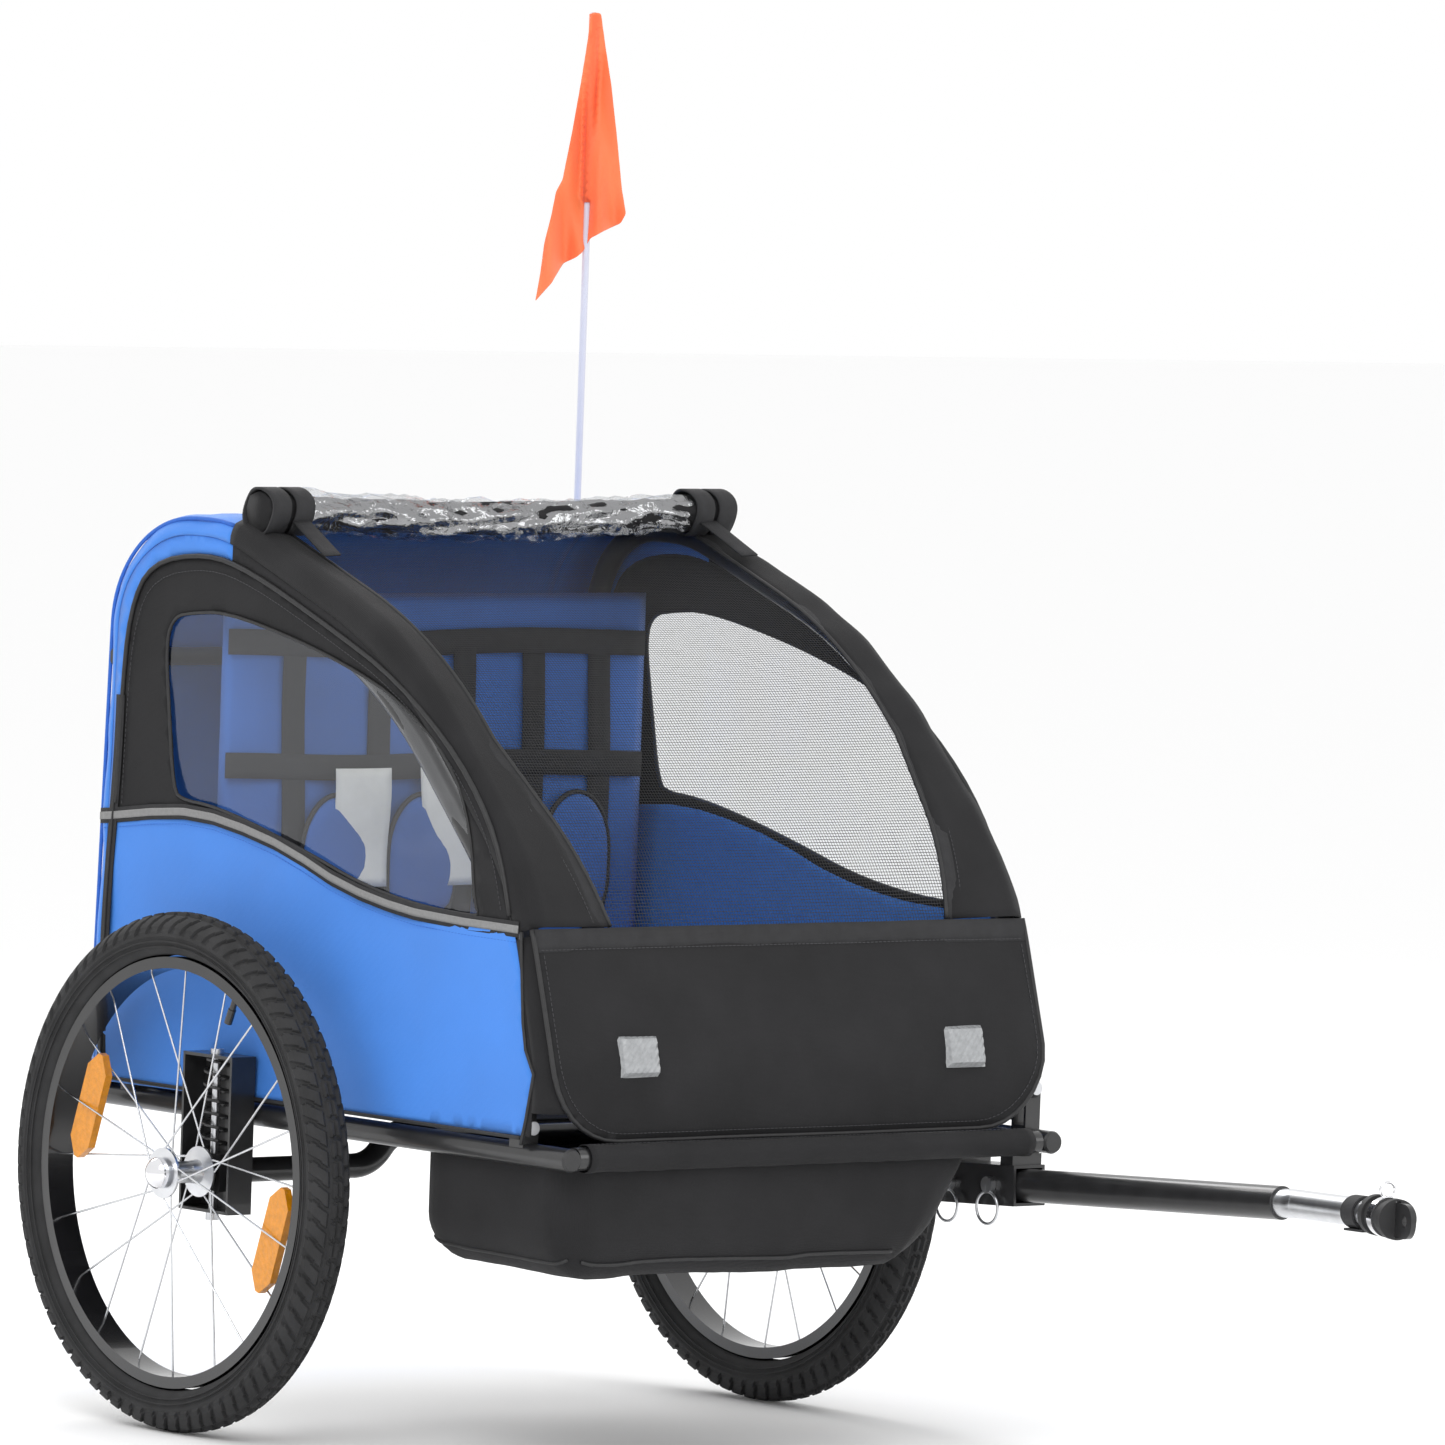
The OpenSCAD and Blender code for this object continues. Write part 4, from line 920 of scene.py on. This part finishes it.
# ---------------------------------------------------------------- tyres with block tread
def tyre(side, sgn):
    cx, cz, Rw, r = 365.0 * sgn, 250.0, 250.0, 24.0
    nt, npf = 960, 48
    v, f, uv = [], [], []
    a0, a1 = -2.45, 2.45
    for i in range(nt):
        th = 2 * math.pi * i / nt
        for j in range(npf + 1):
            a = a0 + (a1 - a0) * j / npf
            h = 0.0
            lat = a / 1.25
            cell = (i / nt * 80 + abs(lat) * 1.15) % 1.0
            if abs(lat) < 0.95:
                groove_c = abs(abs(lat) - 0.30) < 0.07 or abs(lat) < 0.035
                groove_t = cell < 0.26 and abs(lat) > 0.34
                groove_m = ((i / nt * 80 - abs(lat) * 0.8) % 1.0) < 0.24 and abs(lat) < 0.30
                h = -3.0 if (groove_c or groove_t or groove_m) else 0.0
            elif abs(lat) < 1.12:
                h = -3.0 if cell < 0.4 else -0.6
            else:
                h = -2.0
            rr = r + h
            # the casing narrows to the rim
            lx_ = rr * math.sin(a) * (1.0 if abs(a) < 1.57 else 0.94)
            rad = Rw - r + rr * math.cos(a)
            v.append((cx + lx_, rad * math.cos(th), cz + rad * math.sin(th)))
            uv.append((th * 250, a * 24))
    n = npf + 1
    for i in range(nt):
        k = (i + 1) % nt
        for j in range(npf):
            f.append([i * n + j, i * n + j + 1, k * n + j + 1, k * n + j])
    obj_from("tread_" + side, v, f, "rubber", uv, smooth=False, body=side + "_wheel",
        rep=("tyre_" + side,), squash=False)
    # moulded rings on the wall
    for a in (1.75, 1.98):
        for s2 in (-1, 1):
            rr = 22.6
            cord("wall_ring_%s_%d_%s" % (side, int(a * 100), "a" if s2 < 0 else "b"),
                [(cx + s2 * rr * math.sin(a), (226 + rr * math.cos(a)) * math.cos(t), cz
                + (226 + rr * math.cos(a)) * math.sin(t)) for t in np.linspace(0, 2 * math.pi, 121)[:-1]],
                 0.8, "rubber", body=side + "_wheel", squash=False, closed=True, seg=6)


tyre("right", -1)
tyre("left", 1)

# ---------------------------------------------------------------- flag
FX, FY, FT = 290.0, 249.0, 1373.0


def flag():
    A = math.radians(39.22)
    r_ = Vector((math.cos(A), -math.sin(A), 0))
    fwd = Vector((math.sin(A), math.cos(A), 0))
    # outline as seen along the photo's view: millimetres right of and below the pole's top
    loop = [(-3, 0), (7, 0), (12, 30), (20, 72), (27, 120), (34, 175), (39, 200), (34, 210), (18, 218),
        (4, 226), (-3, 240), (-10, 246), (-22, 252), (-33, 272), (-49, 291),
            (-45, 262), (-42, 232), (-36, 205), (-32, 180), (-26, 168), (-18, 120), (-11, 70), (-6, 30)]
    p2, tri = region([loop], lambda p: inside(p, loop), 5.0)
    v = []
    for x, d in p2:
        fold = 10 * math.sin(x / 7.5 + d / 60) * min(1, d / 80) + 5 * math.sin(x / 4.0 - d / 45) * min(1,
            d / 120)
        if abs(x) < 5 and d < 190:
            fold = -4.8
        q = Vector((FX, FY, FT - d)) + r_ * x + fwd * (fold - 0.06 * abs(x) * 4)
        v.append(tuple(q))
    o = obj_from("flag_cloth", v, tri, "orange", p2, solid=0.5, body="flag_mast", rep=("flag",),
        squash=False, sub=1)
    hem = [(FX + 4.7 * math.cos(a), FY + 4.7 * math.sin(a), 0) for a in np.linspace(0, 2 * math.pi, 17)[:-1]]
    vv, ff = [], []
    for zz in (FT - 190, FT - 120, FT - 60, FT - 2, FT):
        for x, y, _ in hem:
            kx = 0.35 if zz == FT else 1.0
            vv.append((FX + (x - FX) * kx, FY + (y - FY) * kx, zz))
    for i in range(4):
        for j in range(16):
            ff.append([i * 16 + j, i * 16 + (j + 1) % 16, (i + 1) * 16 + (j + 1) % 16, (i + 1) * 16 + j])
    h = obj_from("flag_sleeve", vv, ff, "orange", None, solid=0.5, body="flag_mast", squash=False)


flag()

# ---------------------------------------------------------------- stage, light, camera
bpy.ops.mesh.primitive_plane_add(size=60, location=(0, 0, 0))
floor = bpy.context.object
floor.name = "studio_floor"
fm, N, L, b = new_mat("studio floor")
b.inputs["Base Color"].default_value = (0.97, 0.97, 0.97, 1)
b.inputs["Roughness"].default_value = 0.9
floor.data.materials.append(fm)
w = bpy.context.scene.world or bpy.data.worlds.new("World")
bpy.context.scene.world = w
w.use_nodes = True
w.node_tree.nodes["Background"].inputs["Color"].default_value = (1, 1, 1, 1)
w.node_tree.nodes["Background"].inputs["Strength"].default_value = 1.0


def area_light(name, loc, target, size, power):
    d = bpy.data.lights.new(name, "AREA")
    d.shape = "RECTANGLE"
    d.size, d.size_y, d.energy = size[0], size[1], power
    o = bpy.data.objects.new(name, d)
    o.location = loc
    o.rotation_euler = (Vector(target) - Vector(loc)).to_track_quat("-Z", "Y").to_euler()
    bpy.context.scene.collection.objects.link(o)


area_light("key", (-3.2, -2.2, 3.6), (0, 0.3, 0.5), (2.2, 2.2), 85)
area_light("fill", (2.6, -3.4, 2.2), (0, 0.2, 0.5), (2.0, 2.0), 30)
area_light("back", (0.5, 3.6, 3.0), (0, 0.4, 0.6), (2.5, 1.6), 60)

# the photo's viewpoint: angles in degrees, the rest in millimetres; the focal length is in photo pixels
PHOTO_WIDTH = 1445
FOCAL = 12784.6
AZIMUTH, ELEVATION, ROLL = 39.221, 3.213, -2.015
DISTANCE = 12379.4
TARGET = (116.4, -206.3, 691.8)
a, e, r = (math.radians(angle) for angle in (AZIMUTH, ELEVATION, ROLL))
fwd = np.array([math.sin(a) * math.cos(e), math.cos(a) * math.cos(e), -math.sin(e)])
right = np.array([math.cos(a), -math.sin(a), 0.0])
down = np.cross(fwd, right)
R0 = right * math.cos(r) + down * math.sin(r)
R1 = -right * math.sin(r) + down * math.cos(r)
C = np.array(TARGET) - fwd * DISTANCE
cd = bpy.data.cameras.new("photo camera")
cam = bpy.data.objects.new("photo camera", cd)
bpy.context.scene.collection.objects.link(cam)
cd.sensor_width = 36
cd.lens = FOCAL / PHOTO_WIDTH * cd.sensor_width
cd.clip_start, cd.clip_end = 0.5, 200
m = Matrix.Identity(4)
for i in range(3):
    m[i][0], m[i][1], m[i][2] = R0[i], -R1[i], -fwd[i]
m.translation = Vector(W(*C))
cam.matrix_world = m
bpy.context.scene.camera = cam
bpy.context.scene.view_settings.view_transform = "Standard"
